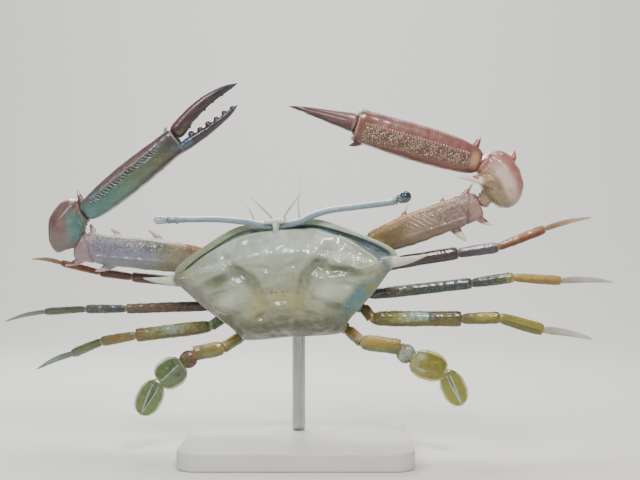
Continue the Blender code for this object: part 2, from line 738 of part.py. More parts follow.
def smooth_points(points, spans):
    """More points on one smooth curve through a chain."""
    first = points[0] * 2.0 - points[1]
    last = points[-1] * 2.0 - points[-2]
    pts = [first] + list(points) + [last]
    out = []
    for i in range(1, len(pts) - 2):
        p0, p1, p2, p3 = pts[i - 1], pts[i], pts[i + 1], pts[i + 2]
        for k in range(spans):
            t = k / spans
            out.append(0.5 * ((2 * p1) + (p2 - p0) * t + (2 * p0 - 5 * p1 + 4 * p2 - p3) * t * t
                              + (3 * p1 - p0 - 3 * p2 + p3) * t ** 3))
    out.append(points[-1].copy())
    return out


def tube(points, thickness, sides, start_plane=None, end_plane=None, tip=None):
    """Round tube along points, with a thickness given by a function of the share along it."""
    rings = []
    last = len(points) - 1
    for k, centre in enumerate(points):
        ahead = points[min(k + 1, last)]
        behind = points[max(k - 1, 0)]
        tangent = (ahead - behind).normalized()
        size = thickness(k / last)
        flat = ring(centre, tangent, size, size, sides)
        if k == 0 and start_plane:
            flat = slide(flat, tangent, *start_plane)
        if k == last and end_plane:
            flat = slide(flat, tangent, *end_plane)
        rings.append(flat)
    return loft(rings, tip)


def stalk_thickness(share):
    """Thickness of an eye stalk: it thins outward and ends in a small knob."""
    thin = min(1.0, share * 1.6)
    knob = max(0.0, share - 0.9) * 10.0
    return STALK_THICK + (STALK_THIN - STALK_THICK) * thin + STALK_KNOB * knob


def build_eyes():
    """Two long eye stalks with an eye at each end."""
    for side, sign in (("right", 1.0), ("left", -1.0)):
        x, y, z = STALK_ROOT
        start = body_point(sign * x, y, z)
        chain = curve_through(start, STALKS[side])
        points = smooth_points(chain, 3)
        inward = (BODY_TURN @ Vector((sign, 0.0, 0.0))).normalized()
        last_step = direction(*STALKS[side][-1][1:])
        ahead = direction(*EYE_HEADING[side])
        stalk_end, eye_start = joint_planes(chain[-1], last_step, ahead)
        mesh = tube(points, stalk_thickness, 8, (start, inward), stalk_end)
        place("eyestalk_" + side, mesh, "stalk")
        length, width = EYE_SIZE[side]
        end = chain[-1] + ahead * length
        swell = ((0.0, 0.62), (0.15, 0.86), (0.4, 1.0), (0.65, 0.97), (0.85, 0.7), (0.96, 0.36), (1.0, 0.0))
        eye = segment(chain[-1], end, width, width, swell, 10, eye_start, None, 2.0)
        place("eye_" + side, eye, "eye" if side == "right" else "stalk")


def build_feelers():
    """Short feelers that stand on the front of the underside."""
    front = (BODY_TURN @ Vector((0.0, 1.0, 0.0))).normalized()
    for label, table in (("antennule_", ANTENNULES), ("antenna_", ANTENNAE)):
        for side, ((x, y), steps) in table.items():
            foot = body_point(x, y + GAP, FEELER_Z)
            first = foot + front * FEELER_REACH
            points = smooth_points([foot] + curve_through(first, steps), 2)
            thick = FEELER_THICK if label == "antennule_" else FEELER_THIN
            tip = points.pop()
            mesh = tube(points, lambda t: thick * (1.0 - 0.5 * t), 6, (foot, front), None, tip)
            place(label + side, mesh, "stalk")


def leg_swell(part, swimming):
    """How one segment of a leg swells."""
    if part == "dactyl":
        return BLADE_SWELL if swimming else NAIL_SWELL
    if part == "propodus" and swimming:
        return OAR_SWELL
    if part in ("merus", "neck", "ischium"):
        return LEG_SWELL
    return LINK_SWELL


def build_leg(name):
    """One walking or swimming leg from its root on the breast plate to its tip."""
    swimming = name.startswith("swim")
    start, root = coxa(name)
    before = (root - start).normalized()
    at = root
    steps = LEGS[name]
    neck = None
    for index, (part, length, heading, lean, width, depth) in enumerate(steps):
        along = direction(heading, lean)
        end = at + along * length
        after = direction(*steps[index + 1][2:4]) if index + 1 < len(steps) else along
        if part == "neck":
            neck = (at, end, width, depth, joint_planes(at, before, along)[1])
            before = along
            at = end
            continue
        _, start_plane = joint_planes(at, before, along)
        end_plane, _ = joint_planes(end, along, after)
        is_last = index + 1 == len(steps)
        colour = "paddle" if swimming and width > WIDE_LEG else "leg"
        swell = leg_swell(part, swimming)
        bow = NAIL_BOW if part == "dactyl" and not swimming else 0.0
        if neck:
            mesh = bent_segment(neck, at, end, width, depth, swell, end_plane)
            neck = None
        else:
            power = OAR_POWER if swimming else LEG_POWER
            sides = LEG_SIDES if width < WIDE_LEG else WIDE_SIDES
            mesh = segment(at, end, width, depth, swell, sides, start_plane,
                           None if is_last else end_plane, power, bow)
        place(name + "_" + part, mesh, colour)
        before = along
        at = end


def bent_segment(neck, knee, end, width, depth, swell, end_plane):
    """Upper leg whose short neck and long part are one piece with a bend."""
    start, _, neck_width, neck_depth, start_plane = neck
    neck_along = (knee - start).normalized()
    along = (end - knee).normalized()
    middle = (neck_along + along).normalized()
    root = ring(start, neck_along, neck_width * NECK_THIN, neck_depth * NECK_THIN, LEG_SIDES, LEG_POWER)
    rings = [
        slide(root, neck_along, *start_plane),
        ring(start.lerp(knee, 0.5), neck_along, neck_width, neck_depth, LEG_SIDES, LEG_POWER),
        ring(knee, middle, (neck_width + width) / 2.0, (neck_depth + depth) / 2.0, LEG_SIDES, LEG_POWER),
    ]
    for share, size in swell:
        if share < KNEE_SHARE:
            continue
        points = ring(knee.lerp(end, share), along, width * size, depth * size, LEG_SIDES, LEG_POWER)
        if share == 1.0:
            points = slide(points, along, *end_plane)
        rings.append(points)
    return loft(rings)


def cut_by_plane(bm, plane, keep_side):
    """Cut a convex body by a plane and close the cut."""
    point, normal = plane
    flip = normal * keep_side
    cut = bmesh.ops.bisect_plane(
        bm, geom=bm.verts[:] + bm.edges[:] + bm.faces[:], plane_co=point, plane_no=flip, clear_inner=True,
    )
    edges = [e for e in cut["geom_cut"] if isinstance(e, bmesh.types.BMEdge)]
    bmesh.ops.holes_fill(bm, edges=edges)


def wrist(centre, arm, merus_end, palm_start, planes, spines):
    """Egg-shaped wrist with a collar to the arm and one to the hand, cut flat at both joints."""
    long_axis = direction(arm["wrist_heading"], 0.0)
    across, deep = frame_at(long_axis)
    a, b, c = arm["wrist_size"]
    bm = bmesh.new()
    bmesh.ops.create_uvsphere(bm, u_segments=WRIST_AROUND, v_segments=WRIST_ROWS, radius=1.0)
    turn = Matrix((across * b, deep * c, long_axis * a)).transposed()
    for v in bm.verts:
        v.co = centre + turn @ v.co
    cut_by_plane(bm, planes[0], 1.0)
    cut_by_plane(bm, planes[1], -1.0)
    bmesh.ops.recalc_face_normals(bm, faces=bm.faces)
    bmesh.ops.triangulate(bm, faces=bm.faces)
    mesh = bpy.data.meshes.new("wrist")
    bm.to_mesh(mesh)
    bm.free()
    extras = []
    for end, plane, width in zip((merus_end, palm_start), planes, arm["collar_width"]):
        depth = width * COLLAR_DEPTH
        extras.append(segment(centre, end, width, depth, COLLAR_SWELL, COLLAR_SIDES, None, plane))
    for root_heading, root_lean, heading, lean, length, radius in spines:
        root = centre + direction(root_heading, root_lean) * (b * WRIST_SEAT)
        out = direction(heading, lean)
        extras.append(spike(root, root + out * length, radius, SPINE_SINK))
    return fuse(mesh, extras)


def edge_spines(start, end, width, rows, upper):
    """Spines along the upper or lower edge of a segment."""
    along = (end - start).normalized()
    across, _ = frame_at(along)
    made = []
    for share, side, length, radius, sweep in rows:
        out = (across * (side * upper) + along * sweep).normalized()
        root = start.lerp(end, share) + across * (side * upper * width * SPINE_SEAT)
        made.append(spike(root, root + out * length, radius, SPINE_SINK))
    return made


def finger_teeth(start, end, lower, width, inward, size):
    """Row of blunt teeth along the biting edge of a finger."""
    along = (end - start).normalized()
    made = []
    for k in range(TEETH):
        share = TEETH_FROM + (TEETH_TO - TEETH_FROM) * k / (TEETH - 1)
        seat = inward * width * TOOTH_SEAT * (1.0 - share * TOOTH_FADE)
        root = start.lerp(end, share) + lower * seat
        high = size * (1.0 if k % 2 == 0 else TOOTH_SMALL) * (1.0 - TOOTH_LOSS * share)
        tip = root + lower * inward * (high + width * TOOTH_REACH)
        made.append(spike(root, tip, high * TOOTH_WIDE, TOOTH_SINK, TOOTH_SIDES, along * TOOTH_LEAN))
    return made


def finger_ends(palm_end, ahead, lower, deep, finger):
    """Root and tip of one finger from the end of the hand."""
    _, _, length, root_shift, tip_shift, _ = finger
    root = palm_end + lower * root_shift[0] + deep * root_shift[1]
    tip = palm_end + ahead * length + lower * tip_shift[0] + deep * tip_shift[1]
    return root, tip


def build_arm(side):
    """One long claw arm: upper arm, wrist, hand with its fixed finger, moving finger."""
    name = "claw_" + side
    arm = ARMS[side]
    start, root = coxa(name)
    before = (root - start).normalized()
    merus_end = root + direction(*arm["merus"][1:]) * arm["merus"][0]
    step = direction(*arm["merus_collar"][1:])
    centre = merus_end + step * arm["merus_collar"][0]
    out = direction(*arm["palm_collar"][1:])
    palm_start = centre + out * arm["palm_collar"][0]
    palm_along = direction(*arm["palm"][1:])
    palm_end = palm_start + palm_along * arm["palm"][0]
    arm_along = (merus_end - root).normalized()

    hip = root.lerp(merus_end, HIP_SHARE)
    _, hip_start = joint_planes(root, before, arm_along)
    hip_end, merus_start = joint_planes(hip, arm_along, arm_along)
    width, depth = arm["merus_size"]
    mesh = segment(root, hip, width, depth * HIP_DEPTH, HIP_SWELL, CLAW_SIDES, hip_start, hip_end)
    place(name + "_ischium", mesh, "arm")

    merus_stop, wrist_start = joint_planes(merus_end, arm_along, step)
    mesh = segment(hip, merus_end, width, depth, MERUS_SWELL, CLAW_SIDES, merus_start, merus_stop,
                   MERUS_POWER)
    outward = -1.0 if side == "right" else 1.0
    extras = edge_spines(hip, merus_end, width, MERUS_SPINES[side], outward)
    place(name + "_merus", fuse(mesh, extras), "arm")

    wrist_stop, palm_plane = joint_planes(palm_start, out, palm_along)
    planes = (wrist_start, wrist_stop)
    place(name + "_carpus", wrist(centre, arm, merus_end, palm_start, planes, WRIST_SPINES[side]), "claw")

    width, depth = arm["palm_size"]
    stop_plane = (palm_end, palm_along)
    mesh = segment(palm_start, palm_end, width, depth, PALM_SWELL, CLAW_SIDES, palm_plane, stop_plane,
                   PALM_POWER)
    across, deep = frame_at(palm_along)
    lower = across * outward
    ahead = direction(*arm["finger"])
    fixed = arm["fixed"]
    fixed_root, fixed_tip = finger_ends(palm_end, ahead, lower, deep, fixed)
    inner = fixed_root - palm_along * FINGER_SINK
    bow = fixed[5] * across.dot(lower)
    swell = WEDGE_SWELL if side == "right" else FINGER_SWELL
    extras = [segment(inner, fixed_tip, fixed[0], fixed[1], swell, FINGER_SIDES,
                      None, None, FINGER_POWER, bow)]
    fixed_teeth, moving_teeth = arm["teeth"]
    if fixed_teeth:
        extras += finger_teeth(fixed_root, fixed_tip, lower, fixed[0], -1.0, fixed_teeth)
    extras += edge_spines(palm_start, palm_end, width, PALM_SPINES[side], -outward)
    place(name + "_palm", fuse(mesh, extras), "claw")

    moving = arm["moving"]
    foot = palm_end + palm_along * GAP
    moving_root, moving_tip = finger_ends(foot, ahead, lower, deep, moving)
    bow = -moving[5] * across.dot(lower)
    mesh = segment(moving_root, moving_tip, moving[0], moving[1], swell, FINGER_SIDES,
                   (moving_root, palm_along), None, FINGER_POWER, bow)
    extras = []
    if moving_teeth:
        extras = finger_teeth(moving_root, moving_tip, lower, moving[0], 1.0, moving_teeth)
    place(name + "_dactyl", fuse(mesh, extras), "finger")


def build_base():
    """Flat base plate with round corners and a small bevel."""
    half_x = BASE_WIDTH / 2.0
    half_y = BASE_DEPTH / 2.0
    rings = []
    for inset, z in ((BASE_EDGE, 0.0), (0.0, BASE_EDGE), (0.0, BASE_HIGH - BASE_EDGE), (BASE_EDGE, BASE_HIGH)):
        points = []
        for sx, sy, turn in ((1, 1, 0), (-1, 1, 90), (-1, -1, 180), (1, -1, 270)):
            for k in range(6):
                a = math.radians(turn + 90.0 * k / 5.0)
                radius = BASE_CORNER - inset
                points.append(Vector((
                    sx * (half_x - BASE_CORNER) + radius * math.cos(a),
                    sy * (half_y - BASE_CORNER) + radius * math.sin(a), z)))
        rings.append(points)
    place("stand_base", loft(rings), "base")


def build_rod():
    """Round rod that rises behind the body and turns in to meet the breast plate."""
    inward = (BODY_TURN @ Vector((0.0, 0.0, 1.0))).normalized()
    top = body_point(ROD_TOP[0], ROD_TOP[1], STERNUM_FLOOR - GAP)
    elbow = top - inward * ROD_STRAIGHT
    turn = math.acos(max(-1.0, min(1.0, inward.z)))
    up = Vector((0.0, 0.0, 1.0))
    side = inward.cross(up).normalized()
    radial = side.cross(inward).normalized()
    if radial.z > 0.0:
        radial = -radial
    centre = elbow + radial * ROD_BEND
    points = [top, top - inward * (ROD_STRAIGHT / 2.0)]
    steps = 9
    for k in range(steps + 1):
        a = turn * k / steps
        points.append(centre - radial * ROD_BEND * math.cos(a) - inward * ROD_BEND * math.sin(a))
    foot = points[-1]
    points.append(Vector((foot.x, foot.y, (foot.z + BASE_HIGH) / 2.0)))
    points.append(Vector((foot.x, foot.y, BASE_HIGH + GAP)))
    mesh = tube(points, lambda t: ROD_THICK, ROD_SIDES, (top, inward), (points[-1], up))
    place("stand_rod", mesh, "rod")


def main():
    """Build every node of the crab and its stand."""
    clear_scene()
    build_shell()
    build_underside()
    first_steps = {name: direction(*steps[0][2:4]) for name, steps in LEGS.items()}
    for side in ("right", "left"):
        first_steps["claw_" + side] = direction(*ARMS[side]["merus"][1:])
    build_sternum(first_steps)
    build_flap()
    build_mouth()
    build_eyes()
    build_feelers()
    for name in LEGS:
        build_leg(name)
    for side in ("right", "left"):
        build_arm(side)
    build_base()
    build_rod()


main()
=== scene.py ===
"""Long-eyed swimming crab on its display stand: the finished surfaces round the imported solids.

Lengths are in millimetres until a mesh is handed to Blender.  The crab hangs upright with its
back to the viewer (-Y), its head end up (+Z) and its left side at -X.
"""

import itertools
import logging
import math
from dataclasses import dataclass, field
from enum import Enum

import bpy
import numpy as np
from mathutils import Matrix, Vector


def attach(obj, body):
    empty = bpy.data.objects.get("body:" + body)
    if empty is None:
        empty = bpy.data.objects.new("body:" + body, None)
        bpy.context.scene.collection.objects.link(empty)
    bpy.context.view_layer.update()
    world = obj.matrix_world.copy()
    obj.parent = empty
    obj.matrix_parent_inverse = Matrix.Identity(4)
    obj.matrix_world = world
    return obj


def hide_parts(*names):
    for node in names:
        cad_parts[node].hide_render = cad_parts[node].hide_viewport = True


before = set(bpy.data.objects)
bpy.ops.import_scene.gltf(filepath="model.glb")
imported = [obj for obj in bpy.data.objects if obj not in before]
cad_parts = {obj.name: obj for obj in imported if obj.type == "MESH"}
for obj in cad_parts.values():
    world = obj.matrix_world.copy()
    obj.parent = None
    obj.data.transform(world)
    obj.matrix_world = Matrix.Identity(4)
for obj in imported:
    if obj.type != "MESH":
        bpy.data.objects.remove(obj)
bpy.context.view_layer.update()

LOG = logging.getLogger("crab")
Run = tuple[tuple[float, float], ...]
Tones = tuple[tuple[float, str], ...]
Triple = tuple[float, float, float]
Fields = dict[str, np.ndarray]
# One millimetre in metres, and the millimetres in a metre, for the scales of patterns
MM = 0.001
METRE = 1.0 / MM
AWAY = np.array((0.0, 1.0, 0.0))
# Share of its full thickness that a pointed spine and a blunt tooth keep from root to tip
SHARP: Run = ((0.0, 1.3), (0.3, 0.95), (0.65, 0.6), (0.88, 0.28), (1.0, 0.05))
BLUNT: Run = ((0.0, 1.05), (0.4, 1.0), (0.7, 0.85), (0.9, 0.55), (1.0, 0.12))
# Power on every tone of the shell, because a wet surface looks darker and deeper than a dry one
WETNESS = 1.35
# How much further the patches and the borders between sides wander than the tones along a segment
WANDER = 1.6


class Side(Enum):
    """The two sides of the crab; the value is the sign of the side's x."""

    RIGHT = 1.0
    LEFT = -1.0

    @property
    def label(self) -> str:
        """Side's name as the nodes spell it."""
        return self.name.lower()


class Part(Enum):
    """Kinds of limb segment, each with its own run of thickness."""

    UPPER = "upper"
    LINK = "link"
    NAIL = "nail"
    KNOB = "knob"
    OAR = "oar"
    BLADE = "blade"


# Plain geometry


def unit(v: np.ndarray) -> np.ndarray:
    """Vector or row of vectors of length one."""
    return v / np.linalg.norm(v, axis=-1, keepdims=True)


def direction(heading: float, lean: float) -> np.ndarray:
    """Unit vector for a heading in the picture plane and a lean away from the viewer.

    Args:
        heading: Degrees from +X towards +Z.
        lean: Degrees towards +Y.

    Returns:
        The unit vector.
    """
    a, b = math.radians(heading), math.radians(lean)
    return np.array((math.cos(a) * math.cos(b), math.sin(b), math.sin(a) * math.cos(b)))


def angles(count: int) -> np.ndarray:
    """Angles spread evenly round one full turn."""
    return 2.0 * math.pi * np.arange(count) / count


def limb_axes(along: np.ndarray, lead: np.ndarray | None = None) -> tuple[np.ndarray, np.ndarray]:
    """Upward and rearward directions of a limb.

    Args:
        along: Unit direction or rows of them.
        lead: Way that the whole limb runs, by default its one direction.

    Returns:
        The direction that points up the picture and the one away from the viewer.
    """
    lead = along if lead is None else lead
    deep = unit(AWAY - along * (along @ AWAY)[..., None])
    up = np.cross(deep, along)
    return up * (-1.0 if lead[0] > 0.0 else 1.0), deep


def run_of(knots: Run, at: np.ndarray) -> np.ndarray:
    """Smooth curve through knots.

    Args:
        knots: Pairs of place and value, in order.
        at: Places to read.

    Returns:
        Values at those places, by cubic pieces.
    """
    x = np.array([k[0] for k in knots])
    y = np.array([k[1] for k in knots])
    step = np.diff(y) / np.diff(x)
    slope = np.concatenate((step[:1], (step[1:] + step[:-1]) / 2.0, step[-1:]))
    flat = np.concatenate(([False], step[1:] * step[:-1] <= 0.0, [False]))
    slope[flat] = 0.0
    i = np.clip(np.searchsorted(x, at) - 1, 0, len(x) - 2)
    h = x[i + 1] - x[i]
    t = np.clip((at - x[i]) / h, 0.0, 1.0)
    rest = 1.0 - t
    return ((1.0 + 2.0 * t) * rest ** 2 * y[i] + t * rest ** 2 * h * slope[i]
            + t ** 2 * (3.0 - 2.0 * t) * y[i + 1] - t ** 2 * rest * h * slope[i + 1])


def curve_through(points: list[np.ndarray], spans: int) -> np.ndarray:
    """Points on one smooth curve through a chain.

    Args:
        points: The chain.
        spans: Number of pieces between neighbours.

    Returns:
        Rows of points, the chain's own among them.
    """
    pts = [2.0 * points[0] - points[1]] + list(points) + [2.0 * points[-1] - points[-2]]
    t = np.arange(spans)[:, None] / spans
    out = []
    for p0, p1, p2, p3 in zip(pts, pts[1:], pts[2:], pts[3:]):
        out.append(0.5 * (2 * p1 + (p2 - p0) * t + (2 * p0 - 5 * p1 + 4 * p2 - p3) * t * t
                          + (3 * p1 - p0 - 3 * p2 + p3) * t ** 3))
    return np.concatenate(out + [points[-1][None]])


def bump_of(x: np.ndarray, middle: float, half: float) -> np.ndarray:
    """Soft hump, one at the middle and small a half width or more away."""
    return np.exp(-(((x - middle) / half) ** 2))


def ease(x: np.ndarray, low: float, high: float) -> np.ndarray:
    """Smooth step from nought at low to one at high."""
    t = np.clip((x - low) / (high - low), 0.0, 1.0)
    return t * t * (3.0 - 2.0 * t)


def draws(cells: np.ndarray, seed: int) -> np.ndarray:
    """Three repeatable random shares for each whole-number cell.

    Args:
        cells: Rows of three whole numbers.
        seed: Number of the pattern.

    Returns:
        Rows of three shares.
    """
    mask = np.int64(0xFFFFFFFF)
    key = (cells[:, 0] * 73856093) ^ (cells[:, 1] * 19349663) ^ (cells[:, 2] * 83492791) ^ (seed * 7919)
    key &= mask
    out = np.empty((len(cells), 3))
    for k in range(3):
        key = (((key >> 15) ^ key) * 739982445) & mask
        key = (((key >> 12) ^ key) * 695872825) & mask
        out[:, k] = (key & 0xFFFFFF) / 0xFFFFFF
    return out


def grains(points: np.ndarray, pitch: float, seed: int) -> tuple[np.ndarray, np.ndarray]:
    """Scattered grains over any surface.

    Args:
        points: Rows of places.
        pitch: Mean distance between grains.
        seed: Number of the pattern.

    Returns:
        Distance to the nearest grain in pitches, and that grain's random share.
    """
    home = np.floor(points / pitch).astype(np.int64)
    best = np.full(len(points), 9.0)
    share = np.zeros(len(points))
    for offset in itertools.product((-1, 0, 1), repeat=3):
        cell = home + np.array(offset)
        lot = draws(cell, seed)
        away = np.linalg.norm(points / pitch - (cell + 0.2 + 0.6 * lot), axis=1)
        closer = away < best
        best[closer] = away[closer]
        share[closer] = lot[closer, 0]
    return best, share


def beads(points: np.ndarray, pitch: float, seed: int, reach: float = 0.5,
          soft: float = 0.3) -> tuple[np.ndarray, np.ndarray]:
    """Low round beads scattered over any surface.

    Args:
        points: Rows of places.
        pitch: Mean distance between beads.
        seed: Number of the pattern.
        reach: Radius of a bead in pitches.
        soft: Width of its flank in pitches.

    Returns:
        Height of the bead at each place, from nought to one, and that bead's random share.
    """
    near, share = grains(points, pitch, seed)
    return ease(reach - near, 0.0, soft), share


def ripple(points: np.ndarray, size: float, seed: int) -> np.ndarray:
    """Soft random swell.

    Args:
        points: Rows of places.
        size: About the width of one hill.
        seed: Number of the pattern.

    Returns:
        Height at each place, from -1 to 1.
    """
    scaled = points / size
    home = np.floor(scaled).astype(np.int64)
    t = ease(scaled - home, 0.0, 1.0)
    total = np.zeros(len(points))
    for corner in itertools.product((0, 1), repeat=3):
        weight = np.prod(np.where(np.array(corner) == 1, t, 1.0 - t), axis=1)
        total += weight * draws(home + np.array(corner), seed)[:, 0]
    return total * 2.0 - 1.0


@dataclass
class Shape:
    """Closed surface in millimetres."""

    points: np.ndarray
    faces: list[tuple[int, ...]]

    def joined(self, *others: "Shape") -> "Shape":
        """This surface and others as one.

        Args:
            *others: Surfaces to join on.

        Returns:
            One surface that holds all their faces.
        """
        points, faces = [self.points], list(self.faces)
        count = len(self.points)
        for other in others:
            points.append(other.points)
            faces += [tuple(i + count for i in face) for face in other.faces]
            count += len(other.points)
        return Shape(np.concatenate(points), faces)

    def mesh(self, name: str) -> bpy.types.Mesh:
        """Blender mesh of this surface, still in millimetres.

        Args:
            name: Its name.

        Returns:
            The mesh.
        """
        mesh = bpy.data.meshes.new(name)
        mesh.from_pydata(self.points.tolist(), [], self.faces)
        mesh.validate()
        mesh.update()
        return mesh

    def normals(self) -> np.ndarray:
        """Outward directions.

        Returns:
            The unit direction at each point.
        """
        mesh = self.mesh("normals")
        out = np.empty(len(mesh.vertices) * 3, np.float32)
        mesh.vertex_normals.foreach_get("vector", out)
        bpy.data.meshes.remove(mesh)
        return out.reshape(-1, 3).astype(float)

    def raised(self, height: np.ndarray) -> "Shape":
        """Same surface moved outward by a height at each point."""
        return Shape(self.points + self.normals() * height[:, None], self.faces)


def loft(rings: np.ndarray, start_tip: np.ndarray | None = None, end_tip: np.ndarray | None = None) -> Shape:
    """Closed surface through rings of points.

    Args:
        rings: Array of rings, points in a ring, and x, y and z.
        start_tip: Point that closes the first ring, by default its middle.
        end_tip: Point that closes the last ring, by default its middle.

    Returns:
        The surface, with its faces outward.
    """
    rows, sides, _ = rings.shape
    start_tip = rings[0].mean(axis=0) if start_tip is None else start_tip
    end_tip = rings[-1].mean(axis=0) if end_tip is None else end_tip
    points = np.concatenate((rings.reshape(-1, 3), start_tip[None], end_tip[None]))
    i = np.arange(sides)
    j = (i + 1) % sides
    first, last = rows * sides, rows * sides + 1
    faces = []
    for k in range(rows - 1):
        a, b = k * sides, (k + 1) * sides
        faces += list(zip((a + i).tolist(), (b + i).tolist(), (b + j).tolist(), (a + j).tolist()))
    end = (rows - 1) * sides
    faces += [(first, int(p), int(q)) for p, q in zip(i, j)]
    faces += [(last, end + int(q), end + int(p)) for p, q in zip(i, j)]
    shape = Shape(points, faces)
    corner = points[list(faces[0])]
    middle = rings[0].mean(axis=0)
    outward = np.cross(corner[1] - corner[0], corner[2] - corner[0]) @ (corner[0] - middle)
    if outward < 0.0:
        shape.faces = [tuple(reversed(face)) for face in faces]
    return shape


def add_object(name: str, data: bpy.types.ID) -> bpy.types.Object:
    """New object in the scene's own collection."""
    thing = bpy.data.objects.new(name, data)
    bpy.context.scene.collection.objects.link(thing)
    return thing


def melt(shapes: list[Shape], voxel: float, soften: int) -> Shape:
    """Grow several closed surfaces together into one skin.

    Args:
        shapes: Closed surfaces that cross.
        voxel: Fineness of the new skin.
        soften: Rounds of smoothing at the seams.

    Returns:
        One closed surface.
    """
    mesh = shapes[0].joined(*shapes[1:]).mesh("clay")
    clay = add_object("clay", mesh)
    remesh = clay.modifiers.new("skin", "REMESH")
    remesh.mode = "VOXEL"
    remesh.voxel_size = voxel
    smooth = clay.modifiers.new("soften", "SMOOTH")
    smooth.factor = 0.5
    smooth.iterations = soften
    shown = clay.evaluated_get(bpy.context.evaluated_depsgraph_get())
    skin = shown.to_mesh()
    points = np.empty(len(skin.vertices) * 3, np.float32)
    skin.vertices.foreach_get("co", points)
    faces = [tuple(p.vertices) for p in skin.polygons]
    shown.to_mesh_clear()
    bpy.data.objects.remove(clay, do_unlink=True)
    bpy.data.meshes.remove(mesh)
    return Shape(points.reshape(-1, 3).astype(float), faces)


def section(sides: int, power: float) -> tuple[np.ndarray, np.ndarray]:
    """Places round one ring.

    Args:
        sides: Number of places.
        power: Two for an oval, more for a boxy ring.

    Returns:
        Places up and places back, from -1 to 1.
    """
    c, s = np.cos(angles(sides)), np.sin(angles(sides))
    return np.sign(c) * np.abs(c) ** (2.0 / power), np.sign(s) * np.abs(s) ** (2.0 / power)


def sweep(centres: np.ndarray, width: np.ndarray, depth: np.ndarray, sides: int, power: float = 2.0,
          relief: np.ndarray | float = 0.0) -> Shape:
    """Limb-like surface along a line of centres.

    Args:
        centres: Rows of centres.
        width: Full width up the picture at each centre.
        depth: Full depth away from the viewer at each centre.
        sides: Points round each ring.
        power: Roundness of the section, two for an oval and more for a boxy one.
        relief: Extra height at each ring and side.

    Returns:
        The closed surface.
    """
    up, deep = limb_axes(unit(np.gradient(centres, axis=0)), centres[-1] - centres[0])
    u, v = section(sides, power)
    high = up[:, None] * (u * (width[:, None] / 2.0 + relief))[..., None]
    back = deep[:, None] * (v * (depth[:, None] / 2.0 + relief))[..., None]
    return loft(centres[:, None] + high + back)


def ring_values(values: np.ndarray, sides: int) -> np.ndarray:
    """Value of its ring at every point of a lofted surface, with the two tips last."""
    return np.append(np.repeat(values, sides), (values[0], values[-1]))


def spine(root: np.ndarray, tip: np.ndarray, radius: float, sink: float, bend: np.ndarray | float = 0.0,
          sides: int = 14, run: Run = SHARP) -> Shape:
    """Curved, tapered spine or blunt tooth with a wide root below the surface.

    Args:
        root: Middle of the root on the surface.
        tip: Its tip.
        radius: Half of its thickness near the root.
        sink: Depth of the root below the surface.
        bend: Shift of its middle to one side.
        sides: Points round it.
        run: Share of the thickness from root to tip.

    Returns:
        The closed surface.
    """
    base = root - unit(tip - root) * sink
    t = np.linspace(0.0, 1.0, 18)
    centres = base + (tip - base) * t[:, None] + bend * np.sin(math.pi * t)[:, None]
    size = 2.0 * radius * run_of(run, t)
    return sweep(centres, size, size, sides)


def fringe(roots: np.ndarray, tips: np.ndarray, thick: float) -> Shape:
    """Row of stiff hairs, each a slim three-sided cone.

    Args:
        roots: Rows of hair roots.
        tips: Rows of hair tips.
        thick: Thickness at the root.

    Returns:
        The hairs.
    """
    along = unit(tips - roots)
    across = unit(np.cross(along, AWAY + 0.1))
    other = np.cross(along, across)
    turn = angles(3)[:, None]
    ring = roots[:, None] + thick / 2.0 * (across[:, None] * np.cos(turn) + other[:, None] * np.sin(turn))
    faces = []
    for k in range(len(roots)):
        a, b, c, tip = 3 * k, 3 * k + 1, 3 * k + 2, 3 * len(roots) + k
        faces += [(a, b, tip), (b, c, tip), (c, a, tip), (c, b, a)]
    return Shape(np.concatenate((ring.reshape(-1, 3), tips)), faces)


# Finishes


def linear(tone: str) -> tuple[float, float, float, float]:
    """Linear colour of an sRGB hex value such as #A1B2C3."""
    shares = [int(tone[k:k + 2], 16) / 255.0 for k in (1, 3, 5)]
    return (*(s / 12.92 if s <= 0.04045 else ((s + 0.055) / 1.055) ** 2.4 for s in shares), 1.0)


def tones(names: str, *places: float) -> Tones:
    """Tones of one run from root to tip.

    Args:
        names: Hex tones with a space between.
        *places: Share along the run of each tone, by default spread evenly.

    Returns:
        Pairs of place and tone.
    """
    words = names.split()
    return tuple(zip(places or [k / max(1, len(words) - 1) for k in range(len(words))], words))


def feed(node: bpy.types.Node, inputs: dict) -> None:
    """Set or link the inputs of a node.

    Args:
        node: The node.
        inputs: Values or output sockets by input name or number.
    """
    for key, value in inputs.items():
        if isinstance(value, bpy.types.NodeSocket):
            node.id_data.links.new(value, node.inputs[key])
        else:
            node.inputs[key].default_value = value


def add_node(tree: bpy.types.NodeTree, kind: str, inputs: dict | None = None, stops: Tones = (),
             **settings: object) -> bpy.types.Node:
    """Add one node with its settings and links.

    Args:
        tree: Material's node tree.
        kind: Node type after its common prefix.
        inputs: Values or output sockets by input name or number.
        stops: Places and hex tones of a colour ramp.
        **settings: Other properties of the node.

    Returns:
        The new node.
    """
    node = tree.nodes.new("ShaderNode" + kind)
    for key, value in settings.items():
        setattr(node, key, value)
    feed(node, inputs or {})
    for k, (place, tone) in enumerate(stops):
        ramp = node.color_ramp.elements
        stop = ramp[k] if k < 2 else ramp.new(place)
        stop.position = place
        stop.color = linear(tone)
    return node


def new_material(name: str) -> tuple[bpy.types.Material, bpy.types.NodeTree, bpy.types.Node]:
    """New material with its node tree and the shader of its surface."""
    made = bpy.data.materials.new(name)
    made.use_nodes = True
    return made, made.node_tree, made.node_tree.nodes["Principled BSDF"]


